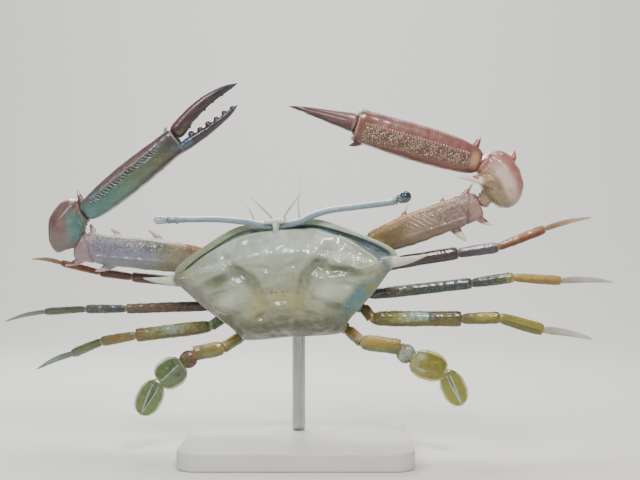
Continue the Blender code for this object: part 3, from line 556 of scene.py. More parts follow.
@dataclass(frozen=True)
class Cuticle:
    """Crab cuticle: a calcified shell, grown and moulted whole, wet and clear on top.

    The clear outer layer gives sharp small lights over a soft pigment, so it is a coat over a
    rougher base with a little light let in.

    Attributes:
        name: Material's name.
        bands: Tones along the segment, root to tip.
        below: Tones of the lower side, or none.
        below_edge: Place up the segment where the lower side starts, from -1 to 1.
        top: Tones of the upper edge, or none.
        top_edge: Place up the segment where the upper edge starts.
        blotch: Tone of the broad patches.
        blotch_mm: Size of a patch.
        blotch_share: Strength of the patches.
        fray: How far the tones wander along the segment.
        soft: Softness of the borders between sides.
        mottle: Tone and strength of the small sharp spots.
        fleck: Tone of the fine flecks.
        fleck_share: Strength of the flecks.
        grain: Tone of the raised grains.
        grain_share: Strength of the tint on the grains.
        roughness: Roughness of the pigment layer.
        coat: Weight of the clear wet layer.
        let_in: Share of light let into the shell.
        bump_mm: Size of the fine pitting.
        bump: Depth of the fine pitting.
        zones: Name of a value kept at each point, tone, and strength, for patches with a place.
    """

    name: str
    bands: Tones
    below: Tones = ()
    below_edge: float = -0.1
    top: Tones = ()
    top_edge: float = 0.5
    blotch: str = "#8E8F6C"
    blotch_mm: float = 4.0
    blotch_share: float = 0.35
    fray: float = 0.1
    soft: float = 0.2
    mottle: tuple[str, float] = ("#6E6A45", 0.0)
    fleck: str = "#D9DCCB"
    fleck_share: float = 0.25
    grain: str = "#E8E0D2"
    grain_share: float = 0.5
    roughness: float = 0.42
    coat: float = 0.5
    let_in: float = 0.12
    bump_mm: float = 0.55
    bump: float = 0.25
    zones: tuple[tuple[str, str, float], ...] = ()

    def material(self) -> bpy.types.Material:
        """Node material of this finish, made once.

        Returns:
            The material.
        """
        found = bpy.data.materials.get(self.name)
        if found:
            return found
        made, tree, shader = new_material(self.name)
        place = add_node(tree, "TexCoord").outputs["Object"]
        held = {name: add_node(tree, "Attribute", attribute_name=name).outputs["Fac"]
                for name in ("along", "upper", "raised", *(zone for zone, _, _ in self.zones))}
        broad = add_node(tree, "TexNoise", {"Vector": place, "Scale": METRE / self.blotch_mm, "Detail": 4.0})
        drift = {0: broad.outputs["Fac"], 1: 0.3, 2: 0.7}
        sway = add_node(tree, "MapRange", drift | {3: -self.fray, 4: self.fray})
        run = add_node(tree, "Math", {0: held["along"], 1: sway.outputs[0]}, operation="ADD").outputs[0]
        tone = add_node(tree, "ValToRGB", {"Fac": run}, self.bands).outputs["Color"]
        frayed = {name: add_node(tree, "Math", {0: sway.outputs[0], 1: WANDER, 2: value},
                                 operation="MULTIPLY_ADD").outputs[0]
                  for name, value in held.items() if name not in ("along", "raised")}
        for low, high, start, end, source, over in self.stains(tree, place, run, frayed, held["raised"]):
            mask = add_node(tree, "MapRange", {0: source, 1: low, 2: high, 3: start, 4: end})
            tone = add_node(tree, "Mix", {0: mask.outputs[0], 6: tone, 7: over}, data_type="RGBA").outputs[2]
        pits = add_node(tree, "TexNoise", {"Vector": place, "Scale": METRE / self.bump_mm, "Detail": 3.0})
        wet = drift | {3: self.roughness - 0.08, 4: self.roughness + 0.1}
        skin = {"Height": pits.outputs["Fac"], "Strength": self.bump, "Distance": 0.2 * MM}
        feed(shader, {
            "Base Color": add_node(tree, "Gamma", {"Color": tone, "Gamma": WETNESS}).outputs[0],
            "Roughness": add_node(tree, "MapRange", wet).outputs[0],
            "Normal": add_node(tree, "Bump", skin).outputs[0],
            "IOR": 1.5, "Coat Weight": self.coat, "Coat Roughness": 0.09, "Subsurface Weight": self.let_in,
            "Subsurface Radius": (1.0, 0.8, 0.5), "Subsurface Scale": 1.2 * MM,
        })
        return made

    def stains(self, tree: bpy.types.NodeTree, place: bpy.types.NodeSocket, run: bpy.types.NodeSocket,
               frayed: dict[str, bpy.types.NodeSocket], raised: bpy.types.NodeSocket) -> list[tuple]:
        """Every tone that lies over the bands, from the lowest to the uppermost.

        Args:
            tree: Material's node tree.
            place: Place on the object.
            run: Wandering place along the segment.
            frayed: Wandering values kept at each point, by name.
            raised: Share by which each point is on a raised grain.

        Returns:
            Rows of the two limits of the value that masks the tone, the tone's strength at each
            limit, that value and the tone.
        """
        rows = []
        sides = ((self.below, self.below_edge, 1.0, 0.0), (self.top, self.top_edge, 0.0, 1.0))
        for stops, edge, low, high in sides:
            if stops:
                over = add_node(tree, "ValToRGB", {"Fac": run}, stops).outputs["Color"]
                rows.append((edge - self.soft, edge + self.soft, low, high, frayed["upper"], over))
        patch = {"Vector": place, "Scale": 0.6 * METRE / self.blotch_mm, "Detail": 6.0, "Roughness": 0.62}
        spots = {"Vector": place, "Scale": METRE / 1.3, "Detail": 3.0, "Roughness": 0.6}
        dots = {"Vector": place, "Scale": METRE / 0.9}
        rows.append((0.45, 0.68, 0.0, self.blotch_share, add_node(tree, "TexNoise", patch).outputs["Fac"],
                     linear(self.blotch)))
        if self.mottle[1]:
            rows.append((0.53, 0.6, 0.0, self.mottle[1], add_node(tree, "TexNoise", spots).outputs["Fac"],
                         linear(self.mottle[0])))
        rows += [(0.2, 0.8, 0.0, strength, frayed[zone], linear(tone)) for zone, tone, strength in self.zones]
        rows.append((0.16, 0.42, self.fleck_share, 0.0,
                     add_node(tree, "TexVoronoi", dots).outputs["Distance"],
                     linear(self.fleck)))
        rows.append((0.15, 0.8, 0.0, self.grain_share, raised, linear(self.grain)))
        return rows


class Finishes:
    """Finishes that more than one piece wears."""

    MOUTH = Cuticle("chalky_mouth_plate", tones("#C4C8B0 #D8DACB"), blotch="#A3A287", coat=0.25)
    STALK = Cuticle(
        "wet_blue_grey_stalk", tones("#8696A0 #93A3AC #86999C #68868A", 0.0, 0.5, 0.93, 1.0),
        top=tones("#B8C4C9 #B8C8C8"), blotch="#76899A", blotch_mm=3.0, fleck_share=0.1, roughness=0.34,
        coat=0.7)
    FEELER = Cuticle(
        "wet_pale_feeler", tones("#B9C2A8 #C9D5D8"),
        blotch="#8EA0A4", blotch_mm=2.0, roughness=0.36, coat=0.6)


# Body


@dataclass(frozen=True)
class BodyFrame:
    """Lie of the body: its turn, and the place of its middle over the stand.

    Attributes:
        pitch: Lean of the front, negative towards the viewer.
        yaw: Turn that brings the right side nearer.
        roll: Lift of the right side.
        at: Place of the body's middle.
    """

    pitch: float = -12.0
    yaw: float = 12.0
    roll: float = 5.0
    at: Triple = (-5.0, -14.0, 74.0)

    def turn(self) -> np.ndarray:
        """Turn of the body.

        Returns:
            The matrix from its own axes to the world's.
        """
        a, b, c = (math.radians(v) for v in (-self.roll, -self.yaw, 90.0 - self.pitch))
        roll = np.array(((math.cos(a), 0, math.sin(a)), (0, 1, 0), (-math.sin(a), 0, math.cos(a))))
        yaw = np.array(((math.cos(b), -math.sin(b), 0), (math.sin(b), math.cos(b), 0), (0, 0, 1)))
        pitch = np.array(((1, 0, 0), (0, math.cos(c), -math.sin(c)), (0, math.sin(c), math.cos(c))))
        return roll @ yaw @ pitch

    def point(self, *local: float) -> np.ndarray:
        """World place of a point in the body's own axes."""
        return np.array(self.at) + self.turn() @ np.array(local)

    def points(self, local: np.ndarray) -> np.ndarray:
        """World places of rows of points in the body's own axes."""
        return np.array(self.at) + local @ self.turn().T

    def local(self, world: np.ndarray) -> np.ndarray:
        """Rows of world points in the body's own axes."""
        return (world - np.array(self.at)) @ self.turn()


@dataclass
class Piece:
    """One finished piece that stands for one solid.

    Attributes:
        node: Name of the solid.
        shape: Surface in millimetres.
        finish: Material or finish.
        slot: Record's material slot; not used.
        fields: Values at each point that the finish reads.
    """

    node: str
    shape: Shape
    finish: "Cuticle | bpy.types.Material"
    slot: str
    fields: Fields = field(default_factory=dict)

    def hand_over(self) -> None:
        """Make the object, dress it and fix it to the frame."""
        mesh = self.shape.mesh(self.node + "_fine")
        mesh.vertices.foreach_set("co", (self.shape.points * MM).astype(np.float32).ravel())
        mesh.shade_smooth()
        mesh.update()
        for name, values in self.fields.items():
            mesh.attributes.new(name, "FLOAT", "POINT").data.foreach_set("value", values.astype(np.float32))
        mesh.materials.append(self.finish.material() if isinstance(self.finish, Cuticle) else self.finish)
        thing = add_object(self.node + "_fine", mesh)
        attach(thing, "root")
        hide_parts(self.node)
        LOG.info("%s: %d faces", thing.name, len(mesh.polygons))


def fields_of(along: np.ndarray, upper: np.ndarray | float = 0.0, raised: np.ndarray | float = 0.0,
              **more: np.ndarray) -> Fields:
    """Values at each point that a finish reads.

    Args:
        along: Share along the segment.
        upper: Place up the segment, from -1 to 1.
        raised: Share by which each point is on a raised grain.
        **more: Shares of the zones that the finish names.

    Returns:
        The values by name.
    """
    blank = np.zeros(len(along))
    return {"along": along, "upper": blank + upper, "raised": blank + raised} | more


def limb_fields(points: np.ndarray, start: np.ndarray, end: np.ndarray, width: float) -> Fields:
    """Values that a limb's finish reads.

    Args:
        points: Rows of places on the segment.
        start: Segment's root.
        end: Segment's tip.
        width: Full width up the picture.

    Returns:
        Share along the segment, place up it from -1 to 1, and no raised grains yet.
    """
    line = end - start
    length = np.linalg.norm(line)
    up, _ = limb_axes(line / length)
    rel = points - start
    return fields_of(rel @ line / length ** 2, rel @ up / (width / 2.0))


def plate(body: BodyFrame, outline: np.ndarray, centre: tuple[float, float], layers: list,
          poles: tuple) -> Shape:
    """Closed plate of nested outlines in the body's own axes.

    Args:
        body: The body's lie.
        outline: Rows of x and y round the plate.
        centre: Point that the outline shrinks to.
        layers: Pairs of scale and height, where a height may be a function of x, y and scale.
        poles: Heights of the middles of the first and last layer.

    Returns:
        The plate in the world.
    """
    middle = np.array(centre)
    rings = []
    for scale, height in layers:
        flat = middle + (outline - middle) * scale
        z = height(flat[:, 0], flat[:, 1], scale) if callable(height) else np.full(len(flat), height)
        rings.append(body.points(np.column_stack((flat, z))))
    tips = [body.point(*centre, z) for z in poles]
    return loft(np.array(rings), *tips)


def mirrored_outline(half: tuple, spans: int) -> np.ndarray:
    """Closed smooth outline from its right half.

    Args:
        half: Pairs of x and y, front middle to rear middle.
        spans: Number of pieces between neighbours.

    Returns:
        Rows of x and y round the whole outline.
    """
    pts = [np.array(p) for p in half]
    ghost_a, ghost_b = pts[1] * (-1.0, 1.0), pts[-2] * (-1.0, 1.0)
    run = curve_through([ghost_a] + pts + [ghost_b], spans)[spans:-spans]
    return np.concatenate((run, run[-2:0:-1] * (-1.0, 1.0)))


@dataclass
class Carapace:
    """Back shell with its swellings, the two long side spines and the narrow front.

    Attributes:
        half: Right half of the outline, front middle to rear middle.
        top: Height of the back.
        edge: Height of the edge at the sides and rear, and in front.
        floor: Height of the flat underside of the plate.
        relief: Swellings: x, y, width across, width along, turn in degrees and height.
        spine: Root, tip and radius of the side spine.
        socket_line: Upper limit of the pale back beside the right eye socket, x and y.
        folds: Folds painted with shade: x, y, and the run of the fold as cosine and sine.
        front: Half width of the stem, half width of the bar and the bar's y.
        voxel: Fineness of the skin.
        swell: Factor on every swelling.
    """

    half: tuple[tuple[float, float], ...] = (
        (0.0, 26.8), (8.0, 26.5), (17.0, 25.2), (26.0, 21.9), (34.0, 18.2), (40.0, 14.4),
        (44.5, 11.9), (48.5, 11.0), (51.5, 10.6), (51.5, 8.4), (48.0, 6.2), (44.5, 2.5),
        (41.0, -1.5), (36.5, -6.2), (31.0, -11.3), (26.8, -15.2), (24.0, -18.8), (21.0, -21.3),
        (11.0, -21.6), (0.0, -21.2),
    )
    top: float = 10.2
    edge: tuple[float, float] = (0.6, 1.6)
    floor: float = -2.0
    relief: tuple[tuple[float, float, float, float, float, float], ...] = (
        (0.0, 18.5, 6.5, 4.0, 0.0, 0.8), (12.0, 18.0, 7.0, 4.2, -8.0, 1.2), (0.0, 8.0, 5.0, 5.0, 0.0, 0.8),
        (5.6, 5.0, 3.0, 3.0, 30.0, 0.6), (0.0, -5.2, 7.5, 3.0, 0.0, 1.7), (0.0, -15.0, 8.0, 3.5, 0.0, 0.7),
        (26.0, 12.6, 9.0, 2.0, -18.0, 1.9), (35.0, 8.6, 6.0, 1.6, -22.0, 1.0),
        (20.5, -2.0, 8.0, 4.4, -15.0, 1.9),
        (22.0, 5.2, 6.0, 2.4, -10.0, 1.1), (31.0, -3.0, 4.0, 6.0, -30.0, 0.8),
        (18.0, -13.0, 7.0, 4.0, -35.0, 0.9),
        (18.0, 12.6, 7.5, 2.4, 42.0, -1.3), (11.0, 5.0, 2.6, 5.5, 18.0, -1.5),
        (8.0, -2.0, 1.8, 4.5, -8.0, -1.2),
        (6.0, 12.6, 5.0, 1.2, 12.0, -0.8), (10.8, -9.0, 5.0, 1.5, -25.0, -1.3),
        (28.0, 7.8, 8.0, 1.8, -14.0, -1.4),
        (30.0, 1.2, 7.0, 1.3, -22.0, -0.8), (24.0, -7.6, 7.0, 1.4, -30.0, -0.8),
        (0.0, -10.2, 9.0, 1.2, 0.0, -0.8),
    )
    spine: tuple = ((44.0, 8.6, 0.95), (64.2, 10.6, 0.3), 2.5)
    socket_line: tuple[tuple[float, float], ...] = (
        (14.0, 32.0), (20.0, 29.0), (25.3, 24.2), (31.5, 19.6), (36.0, 16.2), (40.0, 13.0), (44.0, 9.0),
        (47.0, 5.0),
    )
    folds: tuple[tuple[float, float, float, float], ...] = (
        (18.0, 12.6, 0.74, 0.67), (10.5, 4.0, 0.3, 0.95), (28.0, 7.8, 0.97, -0.24), (24.0, -7.6, 0.87, -0.5),
    )
    front: Triple = (1.3, 4.7, 31.0)
    voxel: float = 0.3
    swell: float = 1.25

    def height(self, x: np.ndarray, y: np.ndarray, rho: float) -> np.ndarray:
        """Height of the back.

        Args:
            x: Places to the right.
            y: Places to the front.
            rho: Share by which the outline is shrunk there.

        Returns:
            Height at each place.
        """
        ahead = np.clip((y - 8.0) / 16.0, 0.0, 1.0)
        edge = self.edge[0] + (self.edge[1] - self.edge[0]) * ahead
        side = 1.0 - 0.30 * np.minimum(1.0, np.abs(x) / 50.0) ** 2
        out = edge + (self.top * side - edge) * (1.0 - rho ** 2.6) ** 0.85
        fade = 1.0 - rho ** 8
        for cx, cy, wide, long, turn, lift in self.relief:
            a = math.radians(turn)
            dx, dy = np.abs(x) - cx, y - cy
            u, v = dx * math.cos(a) + dy * math.sin(a), dy * math.cos(a) - dx * math.sin(a)
            out = out + self.swell * lift * fade * np.exp(-((u / wide) ** 2) - (v / long) ** 2)
        return out

    def build(self, body: BodyFrame) -> Piece:
        """Shape and dress the shell.

        Args:
            body: The body's lie.

        Returns:
            The dressed piece.
        """
        outline = mirrored_outline(self.half, 9)
        layers = [(rho, self.height) for rho in np.linspace(0.012, 1.0, 90)]
        layers += [(1.004, 0.2), (1.0, -0.7), (0.99, -1.6), (0.975, self.floor), (0.5, self.floor)]
        peak = float(self.height(np.zeros(1), np.array((4.0,)), 0.0)[0])
        shapes = [plate(body, outline, (0.0, 4.0), layers, (peak, self.floor))]
        (rx, ry, rz), (tx, ty, tz), radius = self.spine
        bend = body.turn() @ np.array((0.0, -0.7, 0.3))
        for side in Side:
            root, tip = body.point(side.value * rx, ry, rz), body.point(side.value * tx, ty, tz)
            shapes.append(spine(root, tip, radius * 0.92, sink=1.0, bend=bend, sides=24))
        skin = melt(shapes + self.front_pieces(body), self.voxel, soften=2)
        lift, fields = self.texture(skin.points, body.local(skin.points))
        return Piece("carapace", skin.raised(lift), self.finish(), "shell", fields)

    def front_pieces(self, body: BodyFrame) -> list[Shape]:
        """Stem and cross bar of the front, with round ends.

        Args:
            body: The body's lie.

        Returns:
            The surfaces.
        """
        stem_half, bar_half, bar_y = self.front
        t = np.linspace(0.0, 1.0, 24)
        ends = 2.0 * t - 1.0
        stem = body.points(np.column_stack((t * 0.0, 23.5 + 7.8 * t, 2.35 - 0.4 * t)))
        bar = body.points(np.column_stack((ends * bar_half, bar_y + 0.4 - 0.5 * ends ** 2, t * 0.0 + 2.5)))
        thin = run_of(((0.0, 0.3), (0.12, 1.0), (0.5, 1.15), (0.88, 1.0), (1.0, 0.3)), t)
        wide = run_of(((0.0, 1.9), (0.4, 1.0), (0.75, 0.85), (1.0, 1.1)), t)
        along = unit(stem[-1] - stem[0])
        across, out = body.turn()[:, 0], body.turn()[:, 2]
        turn = angles(28)
        rings = [c + np.outer(np.cos(turn), across) * stem_half * w + np.outer(np.sin(turn), out) * 1.1
                 for c, w in zip(stem, wide)]
        return [sweep(bar, 1.5 * thin, 1.2 * thin, 24),
                loft(np.array(rings), stem[0] - along * 0.3, stem[-1] + along * 0.3)]

    def creases(self, side: np.ndarray, y: np.ndarray) -> np.ndarray:
        """Share of painted shade in the folds at places on either half of the back."""
        total = sum(bump_of((side - cx) * ca + (y - cy) * sa, 0.0, 8.0)
                    * bump_of((y - cy) * ca - (side - cx) * sa, 0.0, 2.8) for cx, cy, ca, sa in self.folds)
        return np.clip(total, 0.0, 1.0)

    def texture(self, points: np.ndarray, local: np.ndarray) -> tuple[np.ndarray, Fields]:
        """Grains, beads and stains of the shell, and its painted shade and painted highlights.

        Args:
            points: World places.
            local: The same places in the body's axes.

        Returns:
            Outward height and the values that the finish reads.
        """
        x, y, z = local.T
        side = np.abs(x)
        back = ease(z, 0.4, 2.5)
        bead, share = beads(points, 0.95, 11, reach=0.52)
        bead *= 0.5 + 0.5 * share
        rough = back * (0.35 + 0.65 * ease(side, 8.0, 22.0)) * ease(24.0 - y, 0.0, 12.0)
        rough *= (1.0 + 0.6 * ease(-y, 6.0, 12.0)) * (0.6 + 0.4 * ripple(points, 5.0, 3))
        ridge = bump_of((y - 14.6) + 0.25 * (side - 27.0), 0.0, 1.6) * bump_of(side, 27.0, 12.0)
        big, _ = beads(points, 1.5, 12)
        lift = 0.13 * bead * rough + 0.36 * big * ridge * back
        lift += (0.22 * ripple(points, 2.6, 5) + 0.4 * ripple(points, 6.0, 14)) * back
        curl, _ = grains(points + 0.8 * ripple(points, 2.6, 9)[:, None], 2.7, 15)
        patch = bump_of(np.hypot(side - 10.6, (y + 1.4) * 0.75), 0.0, 4.6) * back
        worms = (ease(0.66 - curl, 0.0, 0.36) - 0.5 * bump_of(curl, 0.66, 0.14)) * patch
        worms *= 0.5 + 0.5 * ripple(points, 3.2, 17)
        lift += 0.38 * worms * (0.7 + 0.5 * ripple(points, 1.4, 16))
        pits = sum(bump_of(np.hypot(x - place, y - 1.6), 0.0, 0.5) for place in (-3.6, -1.6, 1.6, 3.4))
        lift -= 0.3 * pits * back
        centre = bump_of(side, 2.0, 15.0) * bump_of(y + 0.12 * side, -3.0, 8.0) + 0.35 * patch
        flank_u, flank_v = (x - 33.0) * 0.72 - (y + 4.0) * 0.69, (x - 33.0) * 0.69 + (y + 4.0) * 0.72
        rim_line = run_of(self.socket_line, x)
        socket = ease(y - rim_line, 0.0, 0.7) * ease(x, 24.0, 30.0) * ease(48.0 - x, 0.0, 3.5)
        lift -= 0.5 * socket - 0.35 * bump_of(y - rim_line, -0.7, 0.6) * ease(x, 20.0, 28.0)
        return lift, fields_of(
            (y + 22.0) / 50.0, x / 60.0,
            np.clip(bead * rough * 0.6 + ridge * big, 0.0, 1.0) * (1.0 - 0.8 * ease(-y, 8.0, 15.0)),
            olive=np.clip(centre, 0.0, 1.0) * (0.75 + 0.5 * ripple(points, 3.0, 6)),
            worm=np.clip(0.2 * patch - 1.4 * worms, 0.0, 1.0) * (0.6 + 0.6 * ripple(points, 2.0, 18)) + pits,
            teal=bump_of(flank_u, 0.0, 4.0) * bump_of(flank_v, 0.0, 10.0) * ease(x, 10.0, 20.0),
            # Painted shade: dark blue grey in the sunken right eye socket.
            socket=socket,
            # Painted shade: brown grey on the rear flanks, strongest on the left, away from the light.
            dusk=ease(-0.75 * x - 0.66 * y, 18.0, 32.0) + 0.7 * ease(0.8 * x - 0.6 * y, 26.0, 36.0),
            # Painted shade: the fold zone darkens the creases between the swellings.
            fold=self.creases(side, y),
            spot=bump_of(np.hypot(x - 37.5, y + 1.4), 0.0, 2.4),
            # Painted highlights: pale patches on the branchial swellings and along the ridge.
            bright=0.7 * bump_of(np.hypot((side - 21.0) / 13.0, (y + 1.0) / 7.0), 0.0, 1.0) + ridge,
            # Darker olive over the rear third, as at the dark rear end of the bands: partly the shell's own
            # olive, partly painted shade.
            rear=ease(-y, 6.0, 15.0) * (0.75 + 0.3 * ripple(points, 2.2, 19)),
            rim=(ease(side, 46.0, 51.0)
                 + bump_of(y, 31.5, 4.0) * ease(4.0 - side, -2.0, 0.0) * ease(y, 27.5, 28.5)),
        )

    def finish(self) -> Cuticle:
        """Finish of the back: grey green, olive in the middle, teal on the right flank, with painted shade
        and painted highlights.

        Returns:
            The finish.
        """
        return Cuticle(
            "wet_grey_green_shell",
            tones("#7D806A #979B82 #AAAE98 #B2BCAE #C0CBBF", 0.0, 0.3, 0.55, 0.8, 1.0),
            blotch="#868C78", blotch_mm=8.0, blotch_share=0.4, fleck="#CDD0BD", fleck_share=0.14,
            mottle=("#7A7A58", 0.08), grain="#E4E7DA", grain_share=0.45, roughness=0.36, coat=0.85, fray=0.14,
            zones=(("rear", "#585C3C", 0.85), ("dusk", "#5F5844", 0.7), ("fold", "#62664A", 0.6),
                   ("bright", "#C9D1C4", 0.6), ("olive", "#A8A468", 0.6), ("worm", "#736B38", 0.7),
                   ("teal", "#3C7F7E", 0.85), ("spot", "#96903A", 0.6), ("rim", "#D5DACC", 0.8),
                   ("socket", "#74838A", 0.95)))


@dataclass
class Underside:
    """Lower half of the body: the shelf under the front edge, with a groove for the eye stalks.

    Attributes:
        half: Right half of its outline.
        heights: Top of the flat part, floor of the groove, lip and flat bottom.
    """

    half: tuple[tuple[float, float], ...] = (
        (0.0, 29.5), (8.0, 29.8), (17.5, 29.2), (26.0, 26.0), (35.5, 21.1), (42.0, 17.7),
        (45.8, 15.4), (48.6, 13.2), (49.8, 10.9), (49.6, 8.2), (47.2, 6.0), (43.7, 2.4),
        (40.2, -1.4), (35.8, -5.9), (30.4, -10.8), (26.2, -14.6), (23.2, -18.0), (20.2, -20.3),
        (10.8, -20.8), (0.0, -20.4),
    )
    heights: tuple[float, float, float, float] = (-2.3, -4.3, -2.9, -9.0)

    def groove(self, x: np.ndarray, y: np.ndarray, rho: float) -> np.ndarray:
        """Height of the top, which dips where the eye stalks fold in.

        Args:
            x: Places to the right.
            y: Places to the front.
            rho: Share by which the outline is shrunk there.

        Returns:
            Height at each place.
        """
        top, low, lip, _ = self.heights
        ahead = np.clip((y - 7.0) / 5.0, 0.0, 1.0) * np.clip((np.abs(x) - 5.0) / 5.0, 0.0, 1.0)
        ahead *= np.where(x > 0.0, 1.0, 0.45)
        spread = 0.026 + 0.038 * ease(x, 16.0, 40.0)
        dip = np.exp(-(((rho - 0.885) / spread) ** 4))
        rise = max(0.0, (rho - 0.9) / 0.1)
        return top + ahead * ((low - top) * dip + (lip - top) * rise * (1.0 - dip))

    def build(self, body: BodyFrame) -> Piece:
        """Shape and dress the underside.

        Args:
            body: The body's lie.

        Returns:
            The dressed piece.
        """
        top, _, _, floor = self.heights
        outline = mirrored_outline(self.half, 9)
        layers = [(rho, self.groove) for rho in np.concatenate(([0.3], np.linspace(0.7, 1.0, 60)))]
        layers += [(1.004, -3.3), (0.995, -4.2), (0.96, -5.5), (0.93, -6.4), (0.86, -7.9), (0.78, floor),
                   (0.3, floor)]
        shape = plate(body, outline, (0.0, 4.0), layers, (top, floor))
        x, y, z = body.local(shape.points).T
        spread = np.linalg.norm(shape.points - body.point(0.0, 4.0, -3.0), axis=1)
        # Painted shade: dark blue grey in the eye sockets under the front edge.
        socket = ease(-z, 2.7, 3.5) * ease(z, -6.2, -4.4) * ease(y, 7.0, 12.0) * ease(spread, 5.0, 12.0)
        upper_side = np.array([1.0 if callable(height) else 0.0 for _, height in layers])
        bead, _ = beads(shape.points, 1.1, 21)
        # Painted shade: the left zone darkens the left half of the shelf, away from the light.
        fields = fields_of((y + 22.0) / 52.0, raised=bead * 0.5, left=ease(-x, 4.0, 20.0),
                           socket=socket * ring_values(upper_side, len(outline)))
        finish = Cuticle(
            "wet_mint_under_shell", tones("#8C8F74 #A3A78E #B5C0AC #BBC9B4", 0.0, 0.4, 0.7, 1.0),
            blotch="#939C84", blotch_mm=8.0, grain="#D8DFCD", grain_share=0.4, roughness=0.4,
            zones=(("left", "#8F9275", 0.7), ("socket", "#7B8B92", 0.97)))
        return Piece("underside", shape.raised(0.08 * bead * (1.0 - socket)), finish, "underside", fields)


@dataclass
class Breast:
    """Breast plate with the ten limb roots, the tail flap under it and the mouth plates.

    Attributes:
        half: Right half of the breast plate's outline.
        levels: Top and bottom of the plate.
        starts: Inner ends of the limb roots by kind of limb.
        roots: Outer ends of the limb roots by limb.
        widths: Width of the limb roots by kind of limb.
        flap: Right half of the tail flap's outline.
        mouth: Outline of one mouth plate.
        root_run: Share of the thickness of a limb root from the breast plate outward.
    """

    half: tuple = ((0.0, 9.0), (10.0, 8.6), (17.0, 5.0), (19.0, -3.0), (15.0, -12.0), (9.0, -17.5),
                   (0.0, -18.5))
    levels: tuple[float, float] = (-9.3, -15.0)
    starts: dict = field(default_factory=lambda: {
        "claw": (13.0, 4.0, -12.3), "leg2": (14.0, 0.5, -12.3), "leg3": (14.0, -4.0, -12.3),
        "leg4": (13.0, -9.0, -12.3), "swim": (10.0, -14.5, -12.6),
    })
    roots: dict = field(default_factory=lambda: {
        "claw_right": (28.0, 11.5, -14.0), "claw_left": (-27.0, 10.8, -14.0),
        "leg2_right": (35.0, 4.0, -12.5), "leg2_left": (-34.0, 1.5, -12.5),
        "leg3_right": (34.0, -8.3, -12.5), "leg3_left": (-35.0, -8.0, -12.5),
        "leg4_right": (31.0, -13.5, -12.0), "leg4_left": (-33.0, -13.5, -12.0),
        "swim_right": (23.5, -22.5, -8.8), "swim_left": (-24.8, -21.8, -8.8),
    })
    widths: dict = field(default_factory=lambda: {"claw": 8.6, "leg2": 5.6, "leg3": 5.6, "leg4": 5.8,
                                                  "swim": 5.4})
    flap: tuple = ((0.0, 2.5), (1.6, 1.6), (3.0, -4.0), (6.0, -12.0), (9.0, -17.0), (7.5, -19.4),
                   (0.0, -20.0))
    mouth: tuple = ((0.8, 10.2), (8.4, 10.6), (8.8, 20.0), (7.2, 26.4), (2.6, 26.8), (0.8, 24.0))
    root_run: Run = ((0.0, 0.9), (0.35, 0.98), (0.7, 0.92), (0.8, 0.84), (0.88, 1.0), (0.97, 0.92),
                     (1.0, 0.5))

    def start_of(self, body: BodyFrame, limb: str) -> tuple[np.ndarray, np.ndarray]:
        """Ends of a limb's root.

        Args:
            body: The body's lie.
            limb: Limb's name, such as leg2_right.

        Returns:
            Its inner and outer end in the world.
        """
        kind, side = limb.split("_")
        x, y, z = self.starts[kind]
        return body.point(Side[side.upper()].value * x, y, z), body.point(*self.roots[limb])

    def build(self, body: BodyFrame) -> list[Piece]:
        """Shape and dress the breast plate, flap and mouth plates.

        Args:
            body: The body's lie.

        Returns:
            The dressed pieces.
        """
        top, low = self.levels
        layers = [(0.9, top), (0.98, top), (1.0, top - 0.6), (1.0, low + 1.6), (0.97, low + 0.6), (0.9, low)]
        shapes = [plate(body, mirrored_outline(self.half, 8), (0.0, -4.0), layers, (top, low - 0.2))]
        t = np.linspace(0.0, 1.0, 40)
        for limb in self.roots:
            start, root = self.start_of(body, limb)
            size = self.widths[limb.split("_")[0]] * run_of(self.root_run, t)
            shapes.append(sweep(start + (root - start) * t[:, None], size, np.minimum(size, 5.8), 30, 2.2))
        skin = melt(shapes, voxel=0.42, soften=2)
        x, y, z = body.local(skin.points).T
        side = np.abs(x)
        seams = sum(bump_of(y - (-1.0 - 4.6 * k) - 0.18 * side, 0.0, 0.4) for k in range(4))
        seams *= ease(side, 3.0, 5.0) * ease(18.0 - side, 0.0, 3.0) * ease(-z, 13.0, 14.4)
        fields = fields_of(side / 36.0, seam=seams, blue=ease(x, 26.0, 31.0) * ease(-y, 8.0, 12.0),
                           limb=ease(side, 17.0, 27.0))
        finish = Cuticle(
            "chalky_breast_plate", tones("#CFD2BE #B9B48E #8C7B4E", 0.0, 0.6, 1.0), blotch="#7C7650",
            roughness=0.45, coat=0.35,
            zones=(("limb", "#8A6A46", 0.5), ("blue", "#3E7FA0", 0.9), ("seam", "#8D8A6D", 0.7)))
        lift = -0.35 * seams + 0.06 * ripple(skin.points, 1.5, 31)
        pieces = [Piece("sternum", skin.raised(lift), finish, "underside", fields), self.build_flap(body)]
        return pieces + [self.build_mouth(body, side) for side in Side]

    def build_flap(self, body: BodyFrame) -> Piece:
        """Tail flap with a groove at each ring.

        Args:
            body: The body's lie.

        Returns:
            The dressed piece.
        """
        top = self.levels[1] - 0.3
        layers = [(0.8, top), (0.99, top), (1.0, top - 0.2), (0.98, top - 0.9)]
        layers += [(s, top - 1.6 + 0.7 * s ** 6) for s in np.linspace(0.94, 0.05, 24)]
        shape = plate(body, mirrored_outline(self.flap, 10), (0.0, -12.0), layers, (top, top - 1.6))
        _, y, z = body.local(shape.points).T
        seams = sum(bump_of(y, place, 0.35) for place in (-3.2, -7.0, -11.4, -15.6)) * ease(-z, 16.0, 16.5)
        finish = Cuticle(
            "chalky_tail_flap", tones("#D2D5C3 #DADCCD"), blotch="#A9A88C", blotch_mm=5.0, coat=0.3,
            roughness=0.46, zones=(("seam", "#8E8B70", 0.7),))
        fields = fields_of((y + 20.0) / 22.0, seam=seams)
        return Piece("abdomen", shape.raised(-0.25 * seams), finish, "underside", fields)

